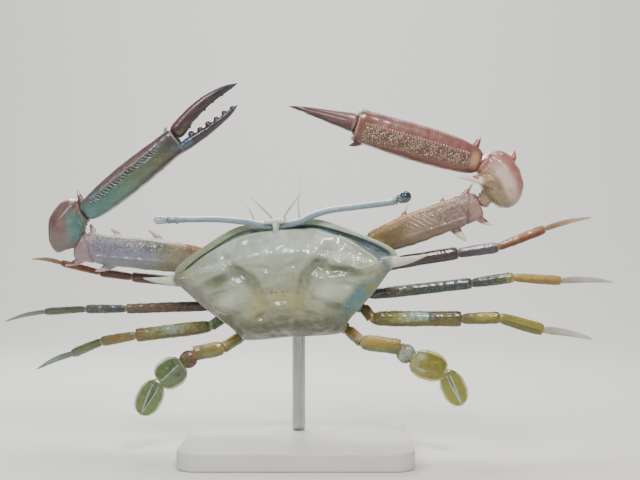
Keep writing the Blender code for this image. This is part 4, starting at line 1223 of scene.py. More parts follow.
    def build_mouth(self, body: BodyFrame, side: Side) -> Piece:
        """One outer mouth plate with its long groove and the cross seam at its end.

        Args:
            body: The body's lie.
            side: Side of the crab.

        Returns:
            The dressed piece.
        """
        pts = [np.array((side.value * x, y)) for x, y in self.mouth]
        outline = curve_through(pts + [pts[0]], 8)[:-1]
        top = self.levels[0]
        layers = [(0.8, top), (0.99, top), (1.0, top - 0.3), (0.99, top - 1.2)]
        layers += [(s, top - 1.8 + 0.4 * s ** 6) for s in np.linspace(0.95, 0.05, 18)]
        shape = plate(body, outline, (side.value * 4.8, 18.0), layers, (top, top - 1.8))
        x, y, z = body.local(shape.points).T
        seam = bump_of(np.abs(x), 5.6, 0.3) * ease(21.0 - y, 0.0, 2.0) + bump_of(y, 20.6, 0.35)
        lift = -0.3 * seam * ease(-z, 10.2, 10.8)
        fields = fields_of((y - 10.0) / 17.0)
        return Piece("maxilliped_" + side.label, shape.raised(lift), Finishes.MOUTH, "underside", fields)


def chain(start: np.ndarray, steps: tuple[Triple, ...]) -> list[np.ndarray]:
    """Points along a chain of straight steps.

    Args:
        start: First point.
        steps: Length, heading and lean of each step.

    Returns:
        The first point and the end of every step.
    """
    points = [start]
    for length, heading, lean in steps:
        points.append(points[-1] + direction(heading, lean) * length)
    return points


@dataclass
class EyeStalks:
    """Two very long eye stalks, each with a knobbly joint and an eye at its end.

    Attributes:
        root: Place of the stalk's root beside the stem of the front.
        steps: Steps of each stalk: length, heading and lean.
        eyes: Length, width, heading and lean of each eye.
        thick: Thickness at the root and along the outer part.
        ball: Share of the eye's width from the stalk to its tip.
    """

    root: Triple = (1.6, 28.6, 0.0)
    steps: dict = field(default_factory=lambda: {
        Side.RIGHT: ((9.0, 11.2, -10.6), (7.3, 24.4, -13.5), (7.3, 15.0, -15.8), (11.0, 6.9, -15.8),
                     (14.3, 6.9, -14.2), (3.9, 20.4, -15.0)),
        Side.LEFT: ((5.6, 174.0, 5.0), (6.9, 168.9, 8.4), (11.4, 174.8, 8.0), (11.6, 179.6, 9.0),
                    (11.3, 181.4, 10.2)),
    })
    eyes: dict = field(default_factory=lambda: {
        Side.RIGHT: (6.0, 5.2, 20.0, -12.0), Side.LEFT: (6.6, 3.8, 180.0, 10.0),
    })
    thick: tuple[float, float] = (3.2, 2.6)
    ball: Run = ((0.0, 0.6), (0.12, 0.8), (0.2, 0.86), (0.26, 0.82), (0.5, 1.0), (0.75, 0.86), (0.92, 0.5),
                 (1.0, 0.05))

    def build(self, body: BodyFrame) -> list[Piece]:
        """Shape and dress both stalks and both eyes.

        Args:
            body: The body's lie.

        Returns:
            The dressed pieces.
        """
        pieces = []
        for side in Side:
            x, y, z = self.root
            points = chain(body.point(side.value * x, y, z), self.steps[side])
            pieces += [self.stalk(side, curve_through(points, 26)), self.eye(side, points[-1])]
        return pieces

    def stalk(self, side: Side, centres: np.ndarray) -> Piece:
        """Stalk with faint length-wise lines and a knobbly joint before the eye.

        Args:
            side: Side of the crab.
            centres: Rows of places along its middle.

        Returns:
            The dressed stalk.
        """
        t = np.linspace(0.0, 1.0, len(centres))
        size = self.thick[0] + (self.thick[1] - self.thick[0]) * np.minimum(1.0, t * 1.5)
        knob = 0.95 * bump_of(t, 0.925, 0.022) + 0.6 * bump_of(t, 0.98, 0.018) + 0.4 * bump_of(t, 0.87, 0.015)
        size = size + (knob if side is Side.RIGHT else 0.5 * knob)
        size[:4] *= np.array((0.7, 0.85, 0.94, 0.99))
        size[-1] *= 0.75
        sides = 40
        a, down = angles(sides), t[:, None]
        flutes = 0.035 * np.cos(7.0 * a) * ease(down, 0.05, 0.2)
        rough = 0.35 * ease(down, 0.86, 0.92) * np.cos(5.0 * a + 2.0) * bump_of(np.sin(90.0 * down), 1.0, 0.6)
        shape = sweep(centres, size, size, sides, 2.0, flutes + rough)
        along = ring_values(t, sides)
        lift = 0.2 * ripple(shape.points, 0.9, 41) * ease(along, 0.84, 0.9)
        fields = fields_of(along, np.append(np.tile(np.cos(a), len(t)), (0.0, 0.0)))
        return Piece("eyestalk_" + side.label, shape.raised(lift), Finishes.STALK, "stalk", fields)

    def eye(self, side: Side, start: np.ndarray) -> Piece:
        """Eye with a faceted cap over a socket ring.

        Args:
            side: Side of the crab.
            start: End of the stalk.

        Returns:
            The dressed eye.
        """
        length, width, heading, lean = self.eyes[side]
        along = direction(heading, lean)
        t = np.linspace(0.0, 1.0, 40)
        size = width * run_of(self.ball, t)
        shape = sweep(start + along * (0.15 + (length - 0.15) * t[:, None]), size, size, 48)
        bead, _ = beads(shape.points, 0.42, 51)
        share = (shape.points - start) @ along / length
        if side is Side.RIGHT:
            slot = "eye"
            finish = Cuticle(
                "glassy_dark_eye", tones("#7E969C #6E8A92 #4A626C #31444C", 0.0, 0.24, 0.34, 1.0),
                blotch="#4C6470", blotch_mm=2.5, fleck_share=0.05, roughness=0.16, coat=1.0, bump=0.08)
        else:
            slot = "eye_pale"
            finish = Cuticle(
                "glassy_pale_eye", tones("#93A9AE #9FB6B8 #AEC5BF #BDD0C6", 0.0, 0.3, 0.6, 1.0),
                blotch="#5C7A80", blotch_mm=2.0, mottle=("#465860", 0.35), roughness=0.16, coat=1.0,
                bump=0.08)
        lift = 0.05 * bead * ease(share, 0.3, 0.4)
        return Piece("eye_" + side.label, shape.raised(lift), finish, slot, fields_of(share))


@dataclass
class Feelers:
    """Short forked antennules and thin antennae on the front of the underside.

    Attributes:
        antennules: Foot in the body's axes and steps, by side.
        antennae: The same for the thin outer pair.
        foot_z: Height of the feet in the body's axes.
        reach: First straight length out of the body.
        thick: Thickness of the two kinds.
        run: Share of the thickness from foot to tip.
    """

    antennules: dict = field(default_factory=lambda: {
        Side.RIGHT: ((3.4, 29.6), ((7.5, 55.0, -12.0), (6.0, 50.0, -14.0))),
        Side.LEFT: ((-2.6, 29.6), ((7.6, 135.0, -8.0), (6.2, 134.0, -9.0))),
    })
    antennae: dict = field(default_factory=lambda: {
        Side.RIGHT: ((9.8, 29.8), ((6.0, 92.0, 4.0), (11.0, 84.0, 4.0))),
        Side.LEFT: ((-10.6, 29.8), ((5.0, 118.0, 0.0), (8.0, 140.0, 2.0))),
    })
    foot_z: float = -3.45
    reach: float = 2.0
    thick: tuple[float, float] = (1.2, 0.8)
    run: Run = ((0.0, 1.0), (0.2, 0.85), (0.5, 0.7), (0.55, 0.9), (0.62, 0.6), (1.0, 0.14))

    def build(self, body: BodyFrame) -> list[Piece]:
        """Shape and dress the four feelers, each with faint rings along it.

        Args:
            body: The body's lie.

        Returns:
            The dressed pieces.
        """
        pieces = []
        sides = 16
        kinds = zip(("antennule_", "antenna_"), (self.antennules, self.antennae), self.thick)
        for label, table, thick in kinds:
            for side, ((x, y), steps) in table.items():
                foot = body.point(x, y + 0.3, self.foot_z)
                centres = curve_through([foot] + chain(foot + body.turn()[:, 1] * self.reach, steps), 16)
                t = np.linspace(0.0, 1.0, len(centres))
                size = thick * run_of(self.run, t)
                rings = 0.02 * np.cos(2.0 * math.pi * t * 26.0)[:, None]
                shape = sweep(centres, size, size, sides, 2.0, rings)
                fields = fields_of(ring_values(t, sides))
                pieces.append(Piece(label + side.label, shape, Finishes.FEELER, "stalk", fields))
        return pieces


# Limbs


RUNS = {
    Part.UPPER: ((0.0, 0.62), (0.04, 0.82), (0.14, 0.94), (0.35, 1.0), (0.7, 0.96), (0.88, 0.98),
                 (0.97, 0.96),
                 (1.0, 0.86)),
    Part.KNOB: ((0.0, 0.5), (0.1, 0.74), (0.32, 1.02), (0.6, 1.05), (0.85, 0.88), (1.0, 0.6)),
    Part.LINK: ((0.0, 0.66), (0.08, 0.84), (0.3, 0.96), (0.75, 1.02), (0.93, 0.99), (1.0, 0.86)),
    Part.NAIL: ((0.0, 0.72), (0.08, 0.94), (0.3, 1.0), (0.55, 0.82), (0.78, 0.54), (0.92, 0.28), (1.0, 0.04)),
    Part.OAR: ((0.0, 0.5), (0.1, 0.76), (0.3, 0.98), (0.6, 1.0), (0.84, 0.84), (0.95, 0.62), (1.0, 0.44)),
    Part.BLADE: ((0.0, 0.34), (0.06, 0.56), (0.22, 0.88), (0.46, 1.0), (0.7, 0.93), (0.86, 0.7), (0.95, 0.42),
                 (1.0, 0.06)),
}


@dataclass(frozen=True)
class Step:
    """One segment of a leg.

    Attributes:
        name: Segment's name.
        part: Its kind.
        length: Length between joints.
        heading: Degrees from +X towards +Z.
        lean: Degrees away from the viewer.
        width: Full width up the picture.
        depth: Full depth.
    """

    name: str
    part: Part
    length: float
    heading: float
    lean: float
    width: float
    depth: float

    @property
    def along(self) -> np.ndarray:
        """Unit direction of the segment."""
        return direction(self.heading, self.lean)

    @property
    def flat(self) -> bool:
        """Whether the segment is an oar or a paddle."""
        return self.part in (Part.OAR, Part.BLADE)


def limb_segment(start: np.ndarray, step: Step, sides: int, rows: int, last: bool) -> Shape:
    """Segment with a narrow neck at its root and an open cup at its far end.

    Args:
        start: Joint at the root.
        step: Segment's sizes.
        sides: Points round it.
        rows: Rings along it.
        last: Whether it ends in a tip and not in a cup.

    Returns:
        The closed surface.
    """
    t = np.linspace(0.0, 1.0, rows)
    size = run_of(RUNS[step.part], t)
    places = np.concatenate(((-0.9, -0.6, -0.15), t * step.length))
    sizes = np.concatenate(((0.3, 0.5, 0.58), size))
    if not last:
        places = np.append(places, (step.length - 0.25, step.length - 0.8))
        sizes = np.append(sizes, (size[-1] * 0.78, size[-1] * 0.4))
    share = np.clip(places / step.length, 0.0, 1.0)
    bow = (0.8 if step.part is Part.NAIL else 0.0) * np.sin(math.pi * share)
    up, deep = limb_axes(step.along)
    centres = start + step.along * places[:, None] + up * bow[:, None]
    u, v = section(sides, 2.15)
    groove = bump_of(u, -0.18, 0.16) + 0.6 * bump_of(u, 0.5, 0.1)
    cut = np.outer(ease(share, 0.04, 0.16) * ease(1.0 - share, 0.02, 0.12), groove)
    flat = step.depth / 2.0 * (sizes[:, None] * v) * (1.0 - 0.16 * cut)
    high = step.width / 2.0 * (sizes[:, None] * u)
    return loft(centres[:, None] + up * high[..., None] + deep * flat[..., None])


def rib_of(step: Step, share: np.ndarray, u: np.ndarray) -> np.ndarray:
    """Share of rib on a leaf: two ribs that meet on a paddle, one on a left oar, none on a right one.

    Args:
        step: Segment's sizes.
        share: Share along it.
        u: Place across it, from -1 to 1.

    Returns:
        The share at each place.
    """
    left = abs(step.heading) > 90.0
    if step.part is Part.BLADE:
        spread = (0.3 if left else 0.16) * (1.0 - share) + 0.03
        return np.clip(bump_of(u, spread, 0.08) + bump_of(u, -spread, 0.06), 0.0, 1.0)
    return bump_of(u, 0.25 - 0.4 * share, 0.06) * (1.0 if left else 0.0)


def leaf(start: np.ndarray, step: Step, sides: int, rows: int, ribs: float) -> Shape:
    """Flat oar or paddle with a thick rim and ribs that run together towards its end.

    Args:
        start: Joint at the root.
        step: Segment's sizes.
        sides: Points round it, a multiple of four.
        rows: Rings along it.
        ribs: Height of the ribs.

    Returns:
        The closed surface.
    """
    t = np.linspace(0.0, 1.0, rows)
    places = np.append((-0.8, -0.3), t * step.length)
    sizes = np.append((0.14, 0.26), run_of(RUNS[step.part], t))
    share = np.clip(places / step.length, 0.0, 1.0)[:, None]
    up, deep = limb_axes(step.along)
    a = angles(sides)
    u, s = np.cos(a), np.sign(np.sin(a)) * np.abs(np.sin(a)) ** 0.5
    root = 1.0 - ease(share, 0.0, 0.25)
    rib = rib_of(step, share, u) * ease(share, 0.0, 0.1) * ease(1.0 - share, 0.02, 0.2)
    rim = bump_of(np.abs(u), 0.9, 0.07) * ease(share, 0.1, 0.2)
    thick = (step.depth / 2.0) * (0.62 + 0.9 * root) * s + np.sign(s) * (ribs * rib + 0.16 * rim)
    thick *= np.minimum(1.0, sizes / 0.5)[:, None]
    centres = start + step.along * places[:, None]
    high = step.width / 2.0 * sizes[:, None] * u
    return loft(centres[:, None] + up * high[..., None] + deep * thick[..., None])


def hair_row(start: np.ndarray, step: Step, edge: float, span: tuple[float, float], length: float,
             count: int) -> Shape:
    """Row of hairs along one edge of a segment.

    Args:
        start: Joint at the root.
        step: Segment's sizes.
        edge: One for the upper edge and minus one for the lower.
        span: Shares of the length between which hairs grow.
        length: Mean hair length.
        count: Number of hairs.

    Returns:
        The hairs.
    """
    seed = int(step.length * 10.0)
    order = np.arange(count)
    lot = draws(np.column_stack((order, np.full(count, seed), np.zeros(count, np.int64))), seed)
    t = span[0] + (span[1] - span[0]) * (order + lot[:, 0]) / count
    up, deep = limb_axes(step.along)
    half = step.width / 2.0 * run_of(RUNS[step.part], t)
    roots = start + step.along * (t * step.length)[:, None] + up * (edge * (half - 0.2))[:, None]
    roots += deep * ((lot[:, 1] - 0.5) * step.depth * 0.3)[:, None]
    ways = unit(up * edge + step.along * (0.7 + 0.5 * lot[:, 2])[:, None]
                + deep * (lot[:, 1] - 0.5)[:, None] * 0.9)
    return fringe(roots, roots + ways * (length * (0.6 + 0.6 * lot[:, 0]))[:, None], 0.13)


@dataclass
class Leg:
    """One walking or swimming leg.

    Attributes:
        name: Leg's name, such as leg2_right.
        steps: Segments from the body outward.
        finishes: Finish of each segment by its name.
    """

    name: str
    steps: tuple[Step, ...]
    finishes: dict[str, Cuticle]

    def build(self, body: BodyFrame, breast: Breast) -> list[Piece]:
        """Shape and dress every segment.

        Args:
            body: The body's lie.
            breast: Breast plate, which holds the leg's root.

        Returns:
            The pieces from the body outward.
        """
        _, at = breast.start_of(body, self.name)
        pieces = []
        neck: Shape | None = None
        for step in self.steps:
            end = at + step.along * step.length
            if step.flat:
                shape = leaf(at, step, sides=96, rows=72, ribs=0.34 if step.part is Part.BLADE else 0.22)
            else:
                shape = limb_segment(at, step, sides=36, rows=64, last=step is self.steps[-1])
            if step.name == "neck":
                neck, at = shape, end
                continue
            if neck:
                shape, neck = melt([neck, shape], voxel=0.26, soften=3), None
            pieces.append(self.dress(step, shape, at, end))
            at = end
        return pieces

    def dress(self, step: Step, shape: Shape, start: np.ndarray, end: np.ndarray) -> Piece:
        """Give one segment its beads, its hairs and its finish.

        Args:
            step: Segment's sizes.
            shape: Its plain surface.
            start: Joint at its root.
            end: Joint at its far end.

        Returns:
            The piece.
        """
        bead, share = beads(shape.points, 0.8, 61)
        fields = limb_fields(shape.points, start, end, step.width)
        body_only = ease(fields["along"], 0.02, 0.1) * ease(1.0 - fields["along"], 0.0, 0.05)
        bead *= body_only * (0.4 + 0.6 * share)
        bead *= 0.25 if step.flat or step.part is Part.NAIL else 0.4 + 0.6 * ease(fields["upper"], 0.3, 0.8)
        shape = shape.raised(0.1 * bead + 0.1 * ripple(shape.points, 1.6, 62) * body_only)
        hairs = self.hairs(start, step)
        if hairs:
            shape = shape.joined(*hairs)
            fields = limb_fields(shape.points, start, end, step.width)
        fields["raised"] = np.ones(len(shape.points))
        fields["raised"][:len(bead)] = bead * 0.6
        fields |= self.marks(step, fields["along"], fields["upper"])
        slot = "paddle" if step.flat else "leg"
        return Piece(f"{self.name}_{step.name}", shape, self.finishes[step.name], slot, fields)

    def marks(self, step: Step, along: np.ndarray, upper: np.ndarray) -> Fields:
        """Zones of one segment.

        Args:
            step: Segment's sizes.
            along: Share along it at each point.
            upper: Place up it at each point.

        Returns:
            Shares of joint, groove, rim, rib, field between the ribs, and glint.
        """
        u = upper / run_of(RUNS[step.part], np.clip(along, 0.0, 1.0))
        inner = ease(along, 0.06, 0.16) * ease(1.0 - along, 0.02, 0.12)
        spread = (0.3 if "left" in self.name else 0.15) * (1.0 - along)
        blade = 1.0 if step.part is Part.BLADE else 0.0
        glint = bump_of(along, 0.24, 0.16) * bump_of(u, 0.5, 0.28)
        glint = glint + bump_of(along, 0.35, 0.2) * bump_of(u, -0.45, 0.1)
        return {
            "joint": (bump_of(along * step.length, -0.1, 0.8)
                      + bump_of((along - 1.0) * step.length, 0.1, 0.45)),
            "groove": (bump_of(u, -0.2, 0.13) + 0.5 * bump_of(u, 0.5, 0.1)) * inner,
            "rim": ease(np.abs(u), 0.8, 0.9) * ease(along, 0.05, 0.2) + ease(along, 0.93, 0.98),
            "rib": rib_of(step, along, u) * inner,
            "field": ease(spread - np.abs(u), -0.02, 0.06) * ease(along, 0.02, 0.1) * blade,
            "glint": glint * (1.0 - blade),
        }

    def hairs(self, at: np.ndarray, step: Step) -> list[Shape]:
        """Hair fringes of one segment: long on paddles and oars, short on the nails.

        Args:
            at: Joint at the segment's root.
            step: Segment's sizes.

        Returns:
            The rows of hairs, or none.
        """
        if step.flat:
            return [hair_row(at, step, edge, (0.15, 0.93), length=1.1, count=70) for edge in (1.0, -1.0)]
        if step.part is Part.NAIL:
            return [hair_row(at, step, 1.0, (0.1, 0.75), length=1.0, count=34)]
        if self.name.startswith("swim") or step.name == "propodus":
            return [hair_row(at, step, 1.0, (0.2, 0.9), length=0.9, count=22)]
        return []


def leg_finishes(name: str) -> dict[str, Cuticle]:
    """Finish of each segment of one leg.

    Args:
        name: Leg's name.

    Returns:
        Finishes by segment name.
    """
    dark = {"mottle": ("#8FA3A8", 0.35), "blotch": "#2F332C"}
    rusty = {"mottle": ("#7A5220", 0.6), "blotch": "#4F5530"}
    shaded = {"below": tones("#6E6F3C #77743F"), "below_edge": -0.3}
    leaf_zones = (("field", "#6E7058", 0.7), ("rib", "#B6C4C8", 0.85), ("rim", "#C9CD9E", 0.8),
                  ("glint", "#C6CFCA", 0.5))
    oar = {"let_in": 0.25, "coat": 0.8, "roughness": 0.3, "grain": "#DDE0B4", "blotch": "#777A35",
           "zones": leaf_zones}
    green_oar = oar | {"blotch": "#5F6E45",
                       "zones": (("field", "#5C5638", 0.7), ("rib", "#A3B8B0", 0.8),
                                 ("rim", "#B9C6A6", 0.85))}
    # Painted light: a pale upper edge as painted highlight and a darker lower side as painted shade.
    painted_top_light_and_shade = {"below": tones("#7C8354 #868B66 #6F6B45"), "below_edge": -0.15,
            "top": tones("#D3C9A8 #CDBE98 #C9B9A0"), "top_edge": 0.72}
    pale = {"blotch_share": 0.15}

    def grooved(tone: str, strength: float, **more: object) -> dict[str, object]:
        """Settings of a segment whose groove has a tone of its own."""
        return {"zones": (("groove", tone, strength),)} | more

    tables = {
        "leg2_right": {
            "merus": ("#4A3634 #5A4241 #4E3B3C #40333A", {"mottle": ("#7A5F58", 0.3), "blotch": "#2F2526"}),
            "carpus": ("#453A42 #5A5260 #5D5660",
                       {"top": tones("#8B8796 #9C97A4"), "top_edge": 0.3, "blotch": "#3A3036"}),
            "propodus": ("#8A6444 #B08860 #A07850",
                         {"below": tones("#6F3F2A #7E4A33"), "below_edge": -0.2, "blotch": "#7A4830"}),
            "dactyl": ("#8F7356 #BBA088 #CFBBA8", pale),
        },
        "leg3_right": {
            "merus": ("#4B4A38 #6B5A40 #46534A #3C4A48 #35423F", dark),
            "carpus": ("#39413A #454B40 #56583F #A2964F", dark),
            "propodus": ("#A99B50 #B3A35A #A3934E", {"below": tones("#8A7440 #98794A"), "blotch": "#8F7A3C"}),
            "dactyl": ("#A89C8C #C3BAC0 #C9C3CC", grooved("#86807E", 0.5, blotch_share=0.2)),
        },
        "leg4_right": {
            "merus": ("#7E6F2E #87843E #98A064 #A5BDB8 #4A5040 #77743F #5E5A2C", rusty | shaded),
            "carpus": ("#65653A #858034 #A39A34 #7A6A26", shaded | {"blotch": "#6E6A38"}),
            "propodus": ("#8C8538 #A09740 #98903C", shaded | grooved("#55552C", 0.7, blotch="#7C7A3E")),
            "dactyl": ("#AFA78C #C9C8C6 #CDCDD4", grooved("#83806E", 0.5, blotch_share=0.2)),
        },
        "leg2_left": {
            "merus": ("#4E3730 #684439 #70493D", {"blotch": "#3C2A26"}),
            "carpus": ("#6B4236 #7C5041 #6E4436", {"blotch": "#4A2E26"}),
            "propodus": ("#84503A #9A6548 #8C5842", {"blotch": "#5E3A2C"}),
            "dactyl": ("#8F6C52 #AC8E74 #BFA690", pale),
        },
        "leg3_left": {
            "merus": ("#3F322C #4A3B33 #6E5A38 #5E5740", {"mottle": ("#A9703A", 0.45), "blotch": "#2F2A2C"}),
            "carpus": ("#44423A #525444 #4E5244", dark),
            "propodus": ("#585A46 #676B55 #666C5C", {"blotch": "#46483A"}),
            "dactyl": ("#6C766C #86928A #98A29A", pale),
        },
        "leg4_left": {
            "merus": ("#4A7A4E #7F8238 #8E8E52 #93ACA6 #8A9878 #85853E #8A6630", rusty | shaded),
            "carpus": ("#7A783E #8C7638 #747A42", rusty),
            "propodus": ("#5E643A #757C52 #6E7658", grooved("#454A2C", 0.6, blotch="#4E5434")),
            "dactyl": ("#66766C #8B9C92 #839488", grooved("#48524A", 0.6, **pale)),
        },
        "swim_right": {
            "ischium": ("#7E7436 #9A7222 #B3A67E", painted_top_light_and_shade | {"mottle": ("#8A5A14", 0.4)}),
            "merus": ("#A89C66 #A8920C #A08A0A #8F8044",
                      painted_top_light_and_shade | {"mottle": ("#84600C", 0.3), "fleck_share": 0.0}),
            "carpus": ("#8C7440 #A3B5AE #76683C", {"mottle": ("#6B4E26", 0.5), "blotch": "#5F5430"}),
            "propodus": ("#A3A37C #969040 #8E8828 #868226", oar | {"mottle": ("#7A5A1C", 0.3)}),
            "dactyl": ("#86882C #93922A #9A9834", oar),
        },
        "swim_left": {
            "ischium": ("#5E8A5E #A08A3C #B5AA80", painted_top_light_and_shade),
            "merus": ("#A39870 #8F7E0C #827610 #7E5E1C",
                      painted_top_light_and_shade | {"mottle": ("#7E560C", 0.25), "fleck_share": 0.0}),
            "carpus": ("#84461C #65562E #504C2C", {"mottle": ("#3C361A", 0.4)}),
            "propodus": ("#5B6040 #6C7E54 #6A7C4C", green_oar),
            "dactyl": ("#6C8054 #738446 #7A8A4A", green_oar),
        },
    }
    common = {"roughness": 0.46, "coat": 0.45, "blotch_mm": 3.0, "fray": 0.14, "fleck_share": 0.08,
              "bump_mm": 0.9}
    made = {}
    for part, (names, more) in tables[name].items():
        look = common | more
        look["zones"] = look.get("zones", ()) + (("joint", "#AC9D76", 0.6),)
        made[part] = Cuticle(f"wet_{name}_{part}", tones(names), **look)
    return made


def steps_of(name: str) -> tuple[Step, ...]:
    """Segments of one leg.

    Args:
        name: Leg's name.

    Returns:
        The segments from the body outward.
    """
    upper, link, nail = ("merus", Part.UPPER), Part.LINK, ("dactyl", Part.NAIL)
    walking = (upper, ("carpus", link), ("propodus", link), nail)
    swimming = (("ischium", Part.UPPER), upper, ("carpus", Part.KNOB), ("propodus", Part.OAR),
                ("dactyl", Part.BLADE))
    kinds = {"leg4": (("neck", Part.UPPER),) + walking, "swim": swimming}.get(name[:4], walking)
    sizes = {
        "leg2_right": ((40.1, 9.0, 3.0, 5.8, 4.4), (18.2, 8.0, 3.0, 4.9, 3.6), (22.8, 21.0, 8.0, 4.2, 2.8),
                       (24.3, 13.0, 12.0, 2.6, 1.8)),
        "leg3_right": ((45.4, 6.3, -0.7, 5.2, 4.2), (18.7, 8.0, 0.0, 4.7, 3.4), (21.3, -4.0, 5.0, 4.2, 2.8),
                       (25.1, -2.0, 7.0, 3.0, 1.8)),
        "leg4_right": ((6.5, -53.0, -11.0, 5.0, 4.0), (39.2, 0.0, -4.0, 7.0, 4.8),
                       (16.5, 2.0, -3.0, 5.2, 3.6),
                       (20.1, -16.0, 6.0, 5.4, 3.2), (24.2, -11.0, 7.0, 3.5, 2.0)),
        "leg2_left": ((40.6, 175.0, 12.0, 5.0, 4.2), (16.1, 173.0, 14.0, 4.0, 3.2),
                      (21.8, 168.0, 22.0, 3.4, 2.6),
                      (21.0, 175.0, 32.0, 2.2, 1.6)),
        "leg3_left": ((42.0, -177.9, 2.9, 4.9, 4.0), (19.9, -178.5, 14.6, 4.1, 3.2),
                      (23.5, -175.0, 25.0, 3.4, 2.6),
                      (27.8, -166.0, 30.0, 2.2, 1.6)),
        "leg4_left": ((7.3, -146.0, -5.0, 5.0, 4.0), (34.3, -173.0, 1.0, 6.5, 4.6),
                      (17.4, -169.0, 17.0, 4.6, 3.4),
                      (20.3, -157.0, 33.0, 4.2, 2.8), (25.9, -156.0, 30.0, 2.8, 1.8)),
        "swim_right": ((8.8, -41.1, -27.7, 5.2, 4.6), (17.1, -7.1, -3.4, 7.2, 4.8),
                       (7.4, -50.6, -7.8, 8.0, 4.2),
                       (16.0, -17.4, 0.0, 12.6, 2.6), (16.8, -65.0, 3.5, 10.8, 1.5)),
        "swim_left": ((11.4, -148.5, -31.5, 5.2, 4.6), (13.2, -169.8, -8.8, 6.8, 4.8),
                      (6.8, -132.6, -4.2, 7.4, 4.2),
                      (13.2, -147.5, -2.2, 13.4, 2.6), (17.0, -117.3, 0.0, 11.4, 1.5)),
    }[name]
    return tuple(Step(label, part, *size) for (label, part), size in zip(kinds, sizes))


@dataclass(frozen=True)
class Finger:
    """Shape of one finger of a claw.

    Attributes:
        width: Full width at its root.
        depth: Full depth at its root.
        length: Length from the end of the hand.
        root: Shift of its root to the lower edge and away from the viewer.
        tip: The same for its tip.
        bow: Bow to the outer side.
        teeth: Height of the biting teeth, nought for a fine row of beads.
    """

    width: float
    depth: float
    length: float
    root: tuple[float, float]
    tip: tuple[float, float]
    bow: float
    teeth: float


